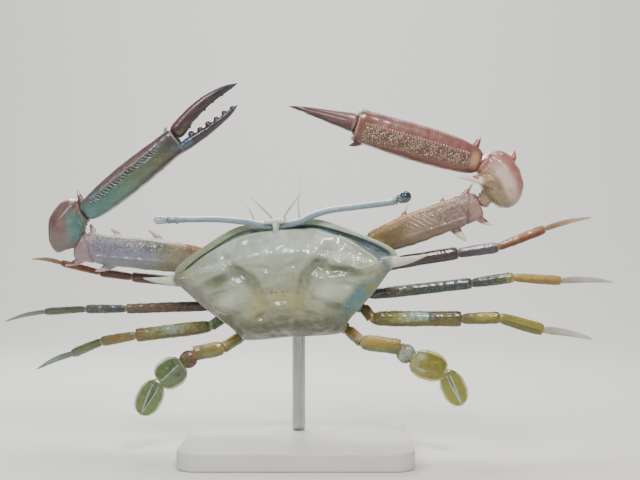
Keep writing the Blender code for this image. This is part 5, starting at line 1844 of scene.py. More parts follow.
# Settings that the upper arms and the wrists share
ARM = {"fray": 0.14, "blotch_mm": 5.0}
ARM_LOOKS = {
    **{(side, "ischium"): Cuticle(f"wet_{side.label}_arm_root", tones("#A87444 #A96B38 #A07546"),
                                  blotch="#6E4428",
                                  blotch_mm=3.0) for side in Side},
    (Side.RIGHT, "merus"): Cuticle(
        "wet_olive_pink_upper_arm", tones("#A08A56 #9A8862 #9A8878 #A38D88 #AE9694"),
        below=tones("#75663F #86745C #937B76"), below_edge=-0.45,
        top=tones("#A97B3E #AE8850 #B39E8C #BBA8A0", 0.0, 0.35, 0.7, 1.0), top_edge=0.62,
        blotch="#77654E", grain="#E0D0BE", fleck_share=0.08, **ARM,
        zones=(("hollow", "#6B5850", 0.5), ("edge", "#C9A26A", 0.5), ("end", "#B0908C", 0.6),
               ("cup", "#7E5C54", 0.85), ("spine", "#E6DFD3", 0.95))),
    (Side.LEFT, "merus"): Cuticle(
        "wet_lilac_upper_arm", tones("#A8703C #9A8C66 #8F918C #8E909C #938E9C #9C868C"),
        below=tones("#94703F #7E8478 #8A8A94 #A08C90", 0.0, 0.4, 0.75, 1.0), below_edge=-0.5,
        top=tones("#BD8A54 #B5AA8E #B3ABB0", 0.0, 0.4, 1.0), top_edge=0.66,
        blotch="#74787C", mottle=("#565A66", 0.25), grain="#C3C3C8", fleck_share=0.08, **ARM,
        zones=(("hollow", "#565A66", 0.4), ("edge", "#DAD8D0", 0.8), ("end", "#A58A8C", 0.7),
               ("cup", "#6E524C", 0.85), ("spine", "#BFB2AE", 0.95))),
    (Side.RIGHT, "carpus"): Cuticle(
        "wet_rose_wrist", tones("#A98C84 #C3ABA0 #C9A9A0 #BC958C #A8746C"),
        below=tones("#9F9078 #BBA488 #B89880"), below_edge=-0.25,
        top=tones("#AD827C #B07A74 #A66C66", 0.0, 0.6, 1.0), top_edge=0.6,
        blotch="#8F6A60", grain="#DCC8B4", roughness=0.34, coat=0.9, soft=0.35, fleck_share=0.05, **ARM,
        zones=(("cream", "#D9CCC2", 0.7), ("inner", "#8A7A5C", 0.7), ("neck", "#A8746A", 0.7),
               ("spine", "#EAE2D6", 0.95))),
    (Side.LEFT, "carpus"): Cuticle(
        "wet_brown_wrist", tones("#75635E #836A64 #80665F #836D66 #74605A"),
        below=tones("#726A68 #6E7E7E #6A7C74"), below_edge=-0.35,
        blotch="#54463F", mottle=("#9C8A80", 0.12), grain="#A99A92", coat=0.7, fleck_share=0.04, **ARM,
        zones=(("facet", "#5C8A88", 0.65), ("neck", "#7A6A5C", 0.7), ("spine", "#D3CBC4", 0.9))),
    (Side.RIGHT, "palm"): Cuticle(
        "wet_rose_hand", tones("#8A6058 #8E625C #946862 #946862 #8F625B #865E56"),
        below=tones("#8C5A44 #7C4C3C #6E473E"), below_edge=-0.66, top=tones("#9A7068 #A0746A"), top_edge=0.84,
        blotch="#7A524B", blotch_mm=7.0, grain="#B9A38C", grain_share=0.7, roughness=0.4, fleck_share=0.03,
        zones=(("band", "#70584C", 0.85), ("knob", "#C3A486", 0.85), ("hinge", "#B59C8E", 0.6),
               ("spine", "#E0D2C2", 0.9), ("hand", "#5A342C", 0.8))),
    (Side.LEFT, "palm"): Cuticle(
        "wet_teal_hand", tones("#5F8480 #5C8078 #5F7E70 #6A7A64 #6E7058 #66604E #54424A"),
        below=tones("#628880 #5E7C6E #5C4E40 #493440", 0.0, 0.45, 0.75, 1.0), below_edge=-0.62,
        top=tones("#7E5E5C #7E5A5A #6E4E50"), top_edge=0.56, blotch="#4C6A62", blotch_share=0.4,
        mottle=("#7FA39A", 0.12), grain="#ABA0A3", grain_share=0.7, roughness=0.4, coat=0.6, fleck_share=0.03,
        fray=0.14, zones=(("gap", "#333C3A", 0.8), ("hand", "#4A3644", 0.85), ("patch", "#4E7886", 0.65),
                          ("hinge", "#B5A69C", 0.4), ("spine", "#CFC6BC", 0.9))),
    (Side.RIGHT, "dactyl"): Cuticle(
        "wet_mauve_finger", tones("#866460 #866664 #7E605E #6C4E4A #44281F"),
        below=tones("#5A3A33 #43261F #2F1814"), below_edge=-0.3, blotch="#5E403E", grain="#9C7E78",
        coat=0.45, fleck_share=0.02, zones=(("rim", "#A89088", 0.5),)),
    (Side.LEFT, "dactyl"): Cuticle(
        "wet_purple_finger", tones("#5A3C3C #5A3C3E #4A3838 #3C343C #363542"),
        below=tones("#5A5A44 #4E4C40 #3C3844"), top=tones("#805458 #6E4C54 #504C5C"), top_edge=0.66,
        blotch="#3E2D32", grain="#7E6E78", grain_share=0.4, roughness=0.4, fleck_share=0.0),
}


@dataclass
class ClawArm:
    """One long claw arm: short root, spiny upper arm, wrist, grainy hand and moving finger.

    Attributes:
        side: Side of the crab.
        merus: Length, heading and lean of the upper arm.
        merus_collar: The same from the upper arm's end to the wrist's middle.
        palm_collar: The same from the wrist's middle to the hand.
        palm: The same for the hand.
        finger: Heading and lean of the fingers.
        merus_size: Width and depth of the upper arm.
        wrist_size: Half sizes of the wrist: long, across and deep.
        wrist_heading: Heading of the wrist's long axis.
        collar_width: Widths of the wrist's necks to the arm and to the hand.
        palm_size: Width and depth of the hand.
        moving: Moving finger.
        fixed: Fixed finger.
        merus_spines: Share along, side, length, radius and sweep of each spine.
        wrist_spines: Heading and lean of root and of spine, length and radius.
        palm_spines: As for the upper arm.
    """

    side: Side
    merus: Triple
    merus_collar: Triple
    palm_collar: Triple
    palm: Triple
    finger: tuple[float, float]
    merus_size: tuple[float, float]
    wrist_size: Triple
    wrist_heading: float
    collar_width: tuple[float, float]
    palm_size: tuple[float, float]
    moving: Finger
    fixed: Finger
    merus_spines: tuple
    wrist_spines: tuple
    palm_spines: tuple

    # Share of its full thickness that each part keeps from its root to its end
    HIP_RUN = ((0.0, 0.52), (0.15, 0.66), (0.5, 0.74), (0.85, 0.72), (1.0, 0.6))
    MERUS_RUN = ((0.0, 0.56), (0.06, 0.74), (0.2, 0.92), (0.45, 1.02), (0.72, 1.0), (0.9, 0.96), (0.97, 0.9),
                 (1.0, 0.76))
    PALM_RUN = ((0.0, 0.52), (0.02, 0.66), (0.07, 0.8), (0.2, 0.95), (0.5, 1.04), (0.75, 1.0), (0.92, 0.94),
                (0.98, 0.93), (1.0, 0.84))
    FINGER_RUN = ((0.0, 0.78), (0.03, 0.92), (0.08, 1.0), (0.15, 0.95), (0.35, 0.84), (0.55, 0.72),
                  (0.75, 0.56),
                  (0.9, 0.34), (1.0, 0.05))
    COLLAR_RUN = ((0.0, 1.0), (0.62, 1.0), (0.72, 1.1), (0.8, 0.94), (0.94, 0.88), (1.0, 0.66))
    WEDGE_RUN = ((0.0, 0.8), (0.03, 0.92), (0.08, 0.94), (0.15, 0.88), (0.4, 0.64), (0.65, 0.42),
                 (0.85, 0.22), (1.0, 0.04))
    # Gap in a joint, and how far a fixed finger's root is sunk into the hand
    GAP = 0.3
    SINK = 5.0

    def build(self, body: BodyFrame, breast: Breast) -> list[Piece]:
        """Shape and dress the five segments.

        Args:
            body: The body's lie.
            breast: Breast plate, which holds the arm's root.

        Returns:
            The pieces from the body outward.
        """
        _, self.root = breast.start_of(body, "claw_" + self.side.label)
        steps = (self.merus, self.merus_collar, self.palm_collar, self.palm)
        self.merus_end, self.centre, self.palm_start, self.palm_end = chain(self.root, steps)[1:]
        self.hip = self.root + (self.merus_end - self.root) * 0.12
        return [self.build_root(), self.build_merus(), self.build_wrist(), self.build_palm(),
                self.build_finger()]

    def piece(self, name: str, shape: Shape, slot: str, fields: Fields) -> Piece:
        """Piece of this arm in its own finish."""
        return Piece(f"claw_{self.side.label}_{name}", shape, ARM_LOOKS[self.side, name], slot, fields)

    def bar(self, start: np.ndarray, end: np.ndarray, run: Run, width: float, depth: float, power: float,
            cup: float = 0.0, rows: int = 90, sides: int = 64) -> Shape:
        """Prismatic bar between two points.

        Args:
            start: Middle of its root.
            end: Middle of its far end.
            run: Share of the thickness from root to end.
            width: Full width up the picture.
            depth: Full depth away from the viewer.
            power: Two for an oval section, more for a boxy one.
            cup: Depth of the cup in its far end.
            rows: Rings along it.
            sides: Points round it.

        Returns:
            The closed surface.
        """
        length = np.linalg.norm(end - start)
        along = (end - start) / length
        t = np.linspace(0.0, 1.0, rows)
        places, sizes = t * length, run_of(run, t)
        if cup:
            places = np.append(places, length - cup * np.array((0.1, 0.5, 1.0)))
            sizes = np.append(sizes, sizes[-1] * np.array((0.82, 0.72, 0.5)))
        up, deep = limb_axes(along)
        u, v = section(sides, power)
        flat = up * (u * width / 2.0)[:, None] + deep * (v * depth / 2.0)[:, None]
        return loft((start + along * places[:, None])[:, None] + sizes[:, None, None] * flat)

    def edge_spines(self, start: np.ndarray, end: np.ndarray, width: float, rows: tuple) -> list[Shape]:
        """Curved spines on both edges of a segment.

        Args:
            start: Segment's root.
            end: Segment's far end.
            width: Its full width.
            rows: Share along, edge (1 upper, -1 lower), length, radius and sweep of each spine.

        Returns:
            The spines.
        """
        along = unit(end - start)
        up, _ = limb_axes(along)
        made = []
        for share, edge, length, radius, sweep_on in rows:
            root = start + (end - start) * share + up * (edge * width * 0.38)
            out = unit(up * edge + along * sweep_on)
            bend = (up * edge - along * 0.6) * 0.5
            made.append(spine(root, root + out * length, radius * 1.25, sink=2.0, bend=bend))
        return made

    def build_root(self) -> Piece:
        """Short root of the arm.

        Returns:
            The dressed piece.
        """
        width, depth = self.merus_size
        end = self.hip - unit(self.hip - self.root) * self.GAP / 2.0
        shape = self.bar(self.root, end, self.HIP_RUN, width, depth * 1.05, power=2.4, cup=0.6, rows=40,
                         sides=48)
        fields = limb_fields(shape.points, self.root, end, width)
        return self.piece("ischium", shape.raised(0.08 * ripple(shape.points, 1.6, 71)), "arm", fields)

    def build_merus(self) -> Piece:
        """Spiny upper arm with a beaded upper edge and a lobed far end.

        Returns:
            The dressed piece.
        """
        width, depth = self.merus_size
        along = unit(self.merus_end - self.hip)
        start, end = self.hip + along * self.GAP / 2.0, self.merus_end - along * self.GAP / 2.0
        up, deep = limb_axes(along)
        shapes = [self.bar(start, end, self.MERUS_RUN, width, depth, power=2.7, cup=2.0, rows=110, sides=72)]
        shapes += self.edge_spines(start, end, width, self.merus_spines)
        for share in np.linspace(0.06, 0.9, 38):
            high = width / 2.0 * float(run_of(self.MERUS_RUN, np.array([share]))[0])
            at = start + (end - start) * share + up * (high - 0.5) - deep * 1.8
            shapes.append(spine(at, at + up * 0.75 - deep * 0.5, radius=0.6, sink=0.3, sides=10, run=BLUNT))
        skin = melt(shapes, voxel=0.25, soften=1)
        fields = limb_fields(skin.points, start, end, width)
        share, high = fields["along"], fields["upper"]
        front = ease(-((skin.points - start) @ deep), 0.5, 2.5)
        near, lot = grains(skin.points, 0.95, 72)
        patch = ease(high + 0.35 * ripple(skin.points, 4.0, 73) + 0.5 * ease(share, 0.55, 0.75), -0.2, 0.4)
        bead = ease(0.5 - near, 0.0, 0.3) * patch * ease(share, 0.06, 0.25) * ease(1.02 - share, 0.0, 0.1)
        crease = np.sin(share * 139.0 + high * 17.5 + 1.2 * ripple(skin.points, 3.0, 74))
        crease = ease(crease, 0.72, 1.0) * bump_of(share, 0.5, 0.14) * bump_of(high, 0.15, 0.4) * front
        if self.side is Side.LEFT:
            crease *= 0.25
        lobe = bump_of(share - 0.06 * high, 0.9, 0.012) * ease(1.2 - np.abs(high), 0.0, 0.4)
        fold = bump_of(high + 0.25 * (share - 0.5), -0.42, 0.1) * front
        fold *= ease(share, 0.2, 0.45) * ease(0.9 - share, 0.0, 0.1)
        lift = 0.22 * bead * (0.5 + 0.5 * lot) + 0.34 * crease - 0.5 * lobe + 0.5 * fold
        lift += 0.22 * ripple(skin.points, 3.0, 75)
        fields |= {
            "raised": np.clip(0.5 * bead * lot + 1.3 * crease, 0.0, 1.0),
            # Painted shade: darker between the grains and in the groove across the far lobe.
            "hollow": bump_of(near, 0.7, 0.2) * patch * ease(share, 0.2, 0.4) + 0.8 * lobe,
            "edge": bump_of(high, 0.98, 0.14) * ease(share, 0.04, 0.12) * ease(0.92 - share, 0.0, 0.1),
            "spine": ease(np.abs(high), 1.1, 1.35), "end": ease(share, 0.86, 0.93),
            "cup": ease(share, 0.985, 0.997),
        }
        return self.piece("merus", skin.raised(lift), "arm", fields)

    def build_wrist(self) -> Piece:
        """Egg-shaped wrist with its spines and a ringed neck to each neighbour.

        Returns:
            The dressed piece.
        """
        long_axis = direction(self.wrist_heading, 0.0)
        side_axis, deep = limb_axes(long_axis)
        a, b, c = self.wrist_size
        theta = np.linspace(0.02, math.pi - 0.02, 70)[:, None]
        phi = angles(72)
        ring = np.sin(theta) ** 0.92
        egg = np.cos(theta)[..., None] * a * long_axis + (ring * np.cos(phi))[..., None] * b * side_axis
        shapes = [loft(self.centre + (egg + (ring * np.sin(phi))[..., None] * c * deep))]
        joints = []
        for end, width in zip((self.merus_end, self.palm_start), self.collar_width):
            reach = np.linalg.norm(end - self.centre) - self.GAP / 2.0
            axis = unit(end - self.centre)
            joints.append((axis, reach))
            far = self.centre + axis * reach
            shapes.append(self.bar(self.centre, far, self.COLLAR_RUN, width, width * 0.9, power=2.2, rows=50,
                                   sides=40))
        for root_heading, root_lean, heading, lean, length, radius in self.wrist_spines:
            root = self.centre + direction(root_heading, root_lean) * (b * 0.8)
            out = direction(heading, lean)
            bend = np.cross(out, AWAY) * -0.6
            shapes.append(spine(root, root + out * length, radius * 1.5, sink=2.4, bend=bend))
        skin = melt(shapes, voxel=0.25, soften=2)
        neck = np.zeros(len(skin.points))
        for axis, reach in joints:
            rel = skin.points - self.centre
            out = rel @ axis
            beside = ease(10.0 - np.linalg.norm(rel - axis * out[:, None], axis=1), 0.0, 0.6)
            skin.points -= axis * (np.maximum(0.0, out - reach) * beside * 0.96)[:, None]
            neck += ease(out, reach - 2.6, reach - 1.6) * beside
        lift, fields = self.wrist_texture(skin.points, (long_axis, side_axis, deep), neck)
        return self.piece("carpus", skin.raised(lift), "claw", fields)

    def wrist_texture(self, points: np.ndarray, axes: tuple, neck: np.ndarray) -> tuple[np.ndarray, Fields]:
        """Beads, ridge and stains of the wrist.

        Args:
            points: World places.
            axes: Directions of the wrist's three half sizes.
            neck: Share by which each place is on a neck.

        Returns:
            Outward height and the values that the finish reads.
        """
        rel = points - self.centre
        a, b, _ = self.wrist_size
        deep = axes[2]
        oval = np.sqrt(sum((rel @ axis / half) ** 2 for axis, half in zip(axes, self.wrist_size)))
        share = rel @ axes[0] / (2.0 * a) + 0.5
        outward = (rel * np.array((self.side.value, 0.0, 0.45))).sum(axis=1) / b
        bead, lot = beads(points, 0.85, 81)
        inner = ease(0.05 - outward, 0.0, 0.4) * ease(0.7 - share, 0.0, 0.3)
        bead *= (0.25 + 0.75 * inner) * ease(0.7 + ripple(points, 4.0, 82), 0.2, 0.9)
        facing = ease(-(rel @ deep), 0.0, 4.0)
        ridge = bump_of(outward - 0.25 * np.sin(share * 4.0), 0.2, 0.2) * ease(oval, 0.8, 0.9) * facing
        lift = 0.18 * bead * (0.5 + 0.5 * lot) + 0.7 * ridge
        lift += 0.3 * ripple(points, 3.0, 83) + 0.5 * ripple(points, 7.0, 84)
        from_facet = (rel - np.array((5.2, -5.0, 1.2))) * np.array((1.0, 0.5, 0.6))
        return lift, fields_of(
            share, outward, 0.6 * bead * (1.0 - neck), neck=neck,
            cream=bump_of(outward, 0.05, 0.4) * bump_of(share, 0.5, 0.32) * facing,
            spine=ease(oval, 1.2, 1.5) * (1.0 - neck), inner=inner * facing,
            facet=bump_of(np.linalg.norm(from_facet, axis=1), 0.0, 5.0))

    def finger_line(self, finger: Finger, foot: np.ndarray) -> tuple[np.ndarray, np.ndarray, np.ndarray]:
        """Line of a finger.

        Args:
            finger: The finger.
            foot: Middle of the hand's end.

        Returns:
            Root and tip of the finger, and the way down to the fixed one.
        """
        up, deep = limb_axes(unit(self.palm_end - self.palm_start))
        ahead = direction(*self.finger)
        root = foot - up * finger.root[0] + deep * finger.root[1]
        return root, foot + ahead * finger.length - up * finger.tip[0] + deep * finger.tip[1], -up

    def finger_body(self, finger: Finger, root: np.ndarray, tip: np.ndarray,
                    outward: np.ndarray) -> list[Shape]:
        """Curved finger with blunt teeth along its biting edge.

        Args:
            finger: The finger.
            root: Middle of its root.
            tip: Its tip.
            outward: Direction away from the biting edge.

        Returns:
            The finger and its teeth.
        """
        t = np.linspace(0.0, 1.0, 90)
        bow = finger.bow * np.sin(math.pi * t) - 0.5 * t ** 8
        run = self.WEDGE_RUN if self.side is Side.RIGHT else self.FINGER_RUN
        size = run_of(run, t)
        centres = root + (tip - root) * t[:, None] + outward * bow[:, None]
        shapes = [sweep(centres, finger.width * size, finger.depth * size, 44, 2.2)]
        rows = [(0.1 + 0.82 * k / 25.0, 0.3, 0.3) for k in range(26)]
        if finger.teeth:
            rows += [(0.2 + 0.14 * k, finger.teeth * (0.8 if k % 2 else 1.0), finger.teeth * 0.95)
                     for k in range(6)]
        for share, big, wide in rows:
            width = finger.width * float(run_of(run, np.array([share]))[0])
            bow = finger.bow * math.sin(math.pi * share)
            at = root + (tip - root) * share - outward * (width * 0.38 - bow)
            fade = 1.0 - 0.35 * share
            top = at - outward * (big * fade + width * 0.12)
            shapes.append(spine(at, top, wide * fade, sink=0.9, sides=12, run=BLUNT))
        return shapes

    def build_palm(self) -> Piece:
        """Hand with its grainy band, its spines and the fixed finger.

        Returns:
            The dressed piece.
        """
        width, depth = self.palm_size
        along = unit(self.palm_end - self.palm_start)
        start, end = self.palm_start + along * self.GAP / 2.0, self.palm_end
        _, deep = limb_axes(along)
        root, tip, lower = self.finger_line(self.fixed, end)
        inner, outer, wedge = root - along * self.SINK, root + along * 0.8, ((0.0, 0.7), (1.0, 1.0))
        shapes = [self.bar(start, end, self.PALM_RUN, width, depth, power=2.8, cup=1.2, rows=120, sides=76),
                  self.bar(inner, outer, wedge, self.fixed.width, self.fixed.depth, power=2.2, rows=20,
                           sides=40)]
        shapes += self.finger_body(self.fixed, root, tip, lower)
        shapes += self.edge_spines(start, end, width, self.palm_spines)
        skin = melt(shapes, voxel=0.24, soften=1)
        fields = limb_fields(skin.points, start, end, width)
        share, high = fields["along"], fields["upper"]
        front = ease(-((skin.points - start) @ deep), 0.3, 2.0)
        inside = ease(share, 0.07, 0.12) * ease(0.97 - share, 0.0, 0.05)
        grain = self.right_grain if self.side is Side.RIGHT else self.left_grain
        lift, marks = grain(skin.points, share, high, front, inside)
        fields |= marks | {
            "spine": ease(np.abs(high), 1.12, 1.35) * ease(0.99 - share, 0.0, 0.02),
            "hand": ease(share, 1.0, 1.06),
            "hinge": bump_of(share, 0.99, 0.007) * front,
            "knob": bump_of(share, 0.06, 0.045) * bump_of(high, 0.0, 0.5),
        }
        lift += 0.16 * ripple(skin.points, 2.5, 93) + 0.25 * fields["hinge"] + 0.5 * fields["knob"]
        return self.piece("palm", skin.raised(lift), "claw", fields)

    def right_grain(self, points: np.ndarray, share: np.ndarray, high: np.ndarray, front: np.ndarray,
                    inside: np.ndarray) -> tuple[np.ndarray, Fields]:
        """Grains of the right hand: a broad crowded band below a row of beads, and a toothed upper edge.

        Args:
            points: World places.
            share: Share along the hand.
            high: Place up it, from -1 to 1.
            front: Share by which each place faces the viewer.
            inside: Share by which each place is away from both ends.

        Returns:
            Outward height and the values that the finish reads.
        """
        bead, lot = beads(points, 0.86, 91, reach=0.6, soft=0.28)
        bead *= 0.6 + 0.4 * lot
        line, floor = 0.24 - 0.12 * share, -0.5 - 0.42 * share
        band = ease(line - high, -0.04, 0.08) * ease(high - floor, -0.1, 0.12) * front * inside
        around = share * 2.0 * math.pi
        row = bump_of(high, line + 0.02, 0.05) * (0.5 + 0.5 * np.cos(around * 44.0)) * front * inside
        edge = bump_of(high, 0.98, 0.12) * (0.5 + 0.5 * np.cos(around * 46.0)) * inside
        fine = 0.05 * ripple(points * np.array((0.35, 1.0, 1.0)), 1.4, 92)
        lift = 0.36 * bead * band - 0.14 * band + 0.34 * row + 0.3 * edge + fine
        return lift, {"raised": np.clip(bead * band + row + 0.5 * edge, 0.0, 1.0), "band": band}

    def left_grain(self, points: np.ndarray, share: np.ndarray, high: np.ndarray, front: np.ndarray,
                   inside: np.ndarray) -> tuple[np.ndarray, Fields]:
        """Grains of the left hand: two rubbed rows of beads, with painted shade in the gaps between their
        rungs.

        Args:
            points: World places.
            share: Share along the hand.
            high: Place up it, from -1 to 1.
            front: Share by which each place faces the viewer.
            inside: Share by which each place is away from both ends.

        Returns:
            Outward height and the values that the finish reads.
        """
        sway = ripple(points, 2.6, 96)
        place = high - 0.3 + 0.03 * sway
        length = self.palm[0] - self.GAP / 2.0
        turn = 2.0 * math.pi * (share * length / 1.75 + place * 2.3) + 1.5 * sway
        crest_bead, small = beads(points, 1.0, 99, reach=0.55)
        span = front * inside * ease(share, 0.08, 0.14) * ease(0.88 - share, 0.0, 0.14)
        rungs = ease(np.cos(turn), 0.1, 0.9) * ease(0.2 - np.abs(place + 0.05), 0.0, 0.12)
        rungs *= 0.6 + 0.4 * ripple(points, 1.2, 97)
        crest = bump_of(place, 0.22, 0.1) * (0.35 + 0.65 * crest_bead * (0.5 + 0.5 * small))
        crowd = np.clip(rungs + crest, 0.0, 1.0) * span
        near, lot = grains(points, 0.8, 94)
        fine = ease(0.5 - near, 0.0, 0.28) * lot * ease(high, 0.45, 0.65) * inside
        scales = ease(0.5 - near, 0.0, 0.4) * ease(-high, 0.05, 0.4) * 0.4 * inside
        # Painted shade: the low gaps between the rungs are darkened.
        gaps = ease(0.22 - np.abs(place + 0.05), 0.0, 0.1) * span * ease(0.5 - crowd, 0.0, 0.3)
        marks = {"raised": np.clip(0.9 * crowd + 0.35 * fine, 0.0, 1.0), "gap": gaps,
                 "patch": bump_of(share, 1.04, 0.07) * bump_of(high, -0.55, 0.5)}
        return 0.42 * crowd - 0.2 * gaps + 0.1 * fine + 0.12 * scales, marks

    def build_finger(self) -> Piece:
        """Moving finger.

        Returns:
            The dressed piece.
        """
        along = unit(self.palm_end - self.palm_start)
        root, tip, lower = self.finger_line(self.moving, self.palm_end + along * self.GAP)
        skin = melt(self.finger_body(self.moving, root, tip, -lower), voxel=0.22, soften=1)
        fields = limb_fields(skin.points, root, tip, self.moving.width)
        share, high = fields["along"], fields["upper"]
        bead, lot = beads(skin.points, 0.7, 95)
        bead *= ease(0.55 - share, 0.0, 0.4) * ease(high, 0.0, 0.5)
        grooves = (bump_of(high, 0.1, 0.09) + bump_of(high, -0.35, 0.08)) * ease(share, 0.08, 0.2)
        grooves *= ease(0.9 - share, 0.0, 0.2)
        fields |= {"raised": 0.4 * bead, "rim": bump_of(share, 0.03, 0.025)}
        return self.piece("dactyl", skin.raised(0.08 * bead * lot - 0.28 * grooves), "finger", fields)


def claw_arms() -> list[ClawArm]:
    """The two claw arms: the right one with closed slim fingers, the left one open and toothed.

    Returns:
        The arms.
    """
    return [
        ClawArm(
            Side.RIGHT, (60.3, 19.9, -2.1), (14.2, 52.3, -12.2), (12.0, 142.1, -12.4), (56.6, 163.9, -6.5),
            (164.5, -3.9), (13.4, 9.5), (12.8, 9.4, 8.0), 110.0, (7.2, 9.4), (15.2, 10.6),
            Finger(8.2, 4.8, 29.5, (-0.5, -2.5), (0.0, -1.3), 0.0, 0.0),
            Finger(5.0, 4.4, 28.2, (0.9, 2.5), (0.0, 1.4), 0.0, 0.0),
            ((0.37, 1, 7.4, 1.2, 0.65), (0.72, 1, 4.8, 1.1, 0.3), (0.9, 1, 7.6, 1.6, 1.2),
             (0.74, -1, 9.2, 1.9, 0.4), (0.96, -1, 8.0, 1.3, 0.9)),
            ((57.0, 0.0, 72.0, 0.0, 7.0, 1.5), (200.0, -42.0, 171.0, -14.0, 15.0, 1.7)),
            ((0.07, 1, 5.8, 1.4, -0.2), (0.93, -1, 5.6, 1.3, 1.2)),
        ),
        ClawArm(
            Side.LEFT, (70.9, 173.8, 3.0), (9.7, 110.7, -8.9), (10.5, 33.9, -12.7), (54.1, 37.7, -7.1),
            (36.3, -7.9), (14.0, 9.5), (12.8, 8.4, 8.0), 75.0, (8.0, 9.0), (13.0, 9.8),
            Finger(7.2, 6.0, 36.0, (-2.5, 0.0), (-4.0, 0.0), 2.6, 0.8),
            Finger(5.2, 5.8, 31.0, (4.1, 0.0), (4.3, 0.0), 0.8, 2.0),
            ((0.37, 1, 9.6, 1.3, 1.3), (0.68, 1, 6.6, 1.2, 1.2), (0.88, 1, 5.8, 1.3, 0.4),
             (0.71, -1, 9.6, 1.6, 1.6), (0.95, -1, 8.2, 1.4, 1.8)),
            ((215.0, 0.0, 200.0, 0.0, 4.0, 1.2),),
            ((0.04, 1, 6.4, 1.3, 0.3), (0.95, 1, 3.4, 1.0, 0.8)),
        ),
    ]


@dataclass
class Stand:
    """Flat base plate and the bent rod that holds the breast plate.

    Attributes:
        size: Width, depth and height of the plate.
        corner: Radius of the plate's corners.
        bevel: Radius of its edges.
        rod: Thickness of the rod.
        top: Place of the rod's top in the body's axes, under the breast plate.
        straight: Straight length at the top.
        bend: Radius of the bend.
    """

    size: Triple = (100.0, 84.0, 8.0)
    corner: float = 10.0
    bevel: float = 1.0
    rod: float = 6.0
    top: Triple = (0.0, 7.5, -15.3)
    straight: float = 5.0
    bend: float = 11.0

    def build(self, body: BodyFrame) -> list[Piece]:
        """Shape and dress the plate and the rod."""
        return [self.build_plate(), self.build_rod(body)]

    def build_plate(self) -> Piece:
        """Plate with round corners and soft edges.

        Returns:
            The dressed piece.
        """
        width, depth, high = self.size
        arc = np.linspace(0.0, 0.5 * math.pi, 14)
        soft = [(self.bevel * (1.0 - math.sin(a)), self.bevel * (1.0 - math.cos(a))) for a in arc]
        layers = soft + [(z, high - inset) for inset, z in soft]
        rings = []
        for inset, z in layers:
            points = []
            radius = self.corner - inset
            for sx, sy, turn in ((1, 1, 0.0), (-1, 1, 0.5), (-1, -1, 1.0), (1, -1, 1.5)):
                a = math.pi * turn + arc
                x = sx * (width / 2.0 - self.corner) + radius * np.cos(a)
                y = sy * (depth / 2.0 - self.corner) + radius * np.sin(a)
                points.append(np.column_stack((x, y, a * 0.0 + z)))
            rings.append(np.concatenate(points))
        return Piece("stand_base", loft(np.array(rings)), powder_coat(), "stand_plate")

    def build_rod(self, body: BodyFrame) -> Piece:
        """Rod that rises behind the body and turns in to meet the breast plate.

        Args:
            body: The body's lie.

        Returns:
            The dressed piece.
        """
        inward = body.turn()[:, 2]
        top = body.point(*self.top)
        up = np.array((0.0, 0.0, 1.0))
        side = unit(np.cross(inward, up))
        radial = np.cross(side, inward)
        radial = -radial if radial[2] > 0.0 else radial
        centre = top - inward * self.straight + radial * self.bend
        a = np.linspace(0.0, math.acos(float(np.clip(inward[2], -1.0, 1.0))), 40)[:, None]
        arc = centre - radial * self.bend * np.cos(a) - inward * self.bend * np.sin(a)
        foot = arc[-1] * np.array((1.0, 1.0, 0.0)) + up * (self.size[2] + 0.3)
        head = top - inward * np.linspace(0.0, self.straight, 6)[:, None]
        post = arc[-1] + (foot - arc[-1]) * np.linspace(0.04, 1.0, 24)[:, None]
        centres = np.concatenate((head[:-1], arc, post))
        across = np.cross(unit(np.gradient(centres, axis=0)), side)
        turn = angles(48)[:, None]
        radius = np.full(len(centres), self.rod / 2.0)
        radius[0] -= 0.25
        radius[-1] -= 0.2
        rim = np.cos(turn) * side + np.sin(turn) * across[:, None]
        rings = centres[:, None] + radius[:, None, None] * rim
        return Piece("stand_rod", loft(rings), brushed_rod(), "stand_steel")


def powder_coat() -> bpy.types.Material:
    """Aluminium plate, powder coated and baked: an even satin skin with a fine orange peel.

    Returns:
        The material.
    """
    made, tree, shader = new_material("powder_coated_aluminium")
    place = add_node(tree, "TexCoord").outputs["Object"]
    peel = add_node(tree, "TexNoise", {"Vector": place, "Scale": METRE / 0.7, "Detail": 2.0}).outputs["Fac"]
    drift = add_node(tree, "TexNoise", {"Vector": place, "Scale": METRE / 40.0}).outputs["Fac"]
    tone = add_node(tree, "ValToRGB", {"Fac": drift}, tones("#C9C8C4 #D1D0CC", 0.3, 0.7))
    skin = add_node(tree, "Bump", {"Height": peel, "Strength": 0.18, "Distance": 0.1 * MM})
    feed(shader, {"Base Color": tone.outputs["Color"], "Normal": skin.outputs[0], "Roughness": 0.45})
    return made


def brushed_rod() -> bpy.types.Material:
    """Stainless steel rod, ground along its length: fine lines and a soft grey shine.

    Returns:
        The material.
    """
    made, tree, shader = new_material("ground_stainless_steel")
    place = add_node(tree, "TexCoord").outputs["Object"]
    across, along = METRE / 0.4, 60.0
    lines = add_node(tree, "Mapping", {"Vector": place, "Scale": (across, across, along)})
    fine = {"Vector": lines.outputs[0], "Scale": 1.0, "Detail": 3.0}
    scratch = add_node(tree, "TexNoise", fine).outputs["Fac"]
    tone = add_node(tree, "ValToRGB", {"Fac": scratch}, tones("#A9AAAC #C2C3C5", 0.3, 0.7))
    rough = add_node(tree, "MapRange", {0: scratch, 1: 0.3, 2: 0.7, 3: 0.24, 4: 0.4})
    feed(shader, {"Base Color": tone.outputs["Color"], "Roughness": rough.outputs[0], "Metallic": 1.0})
    return made


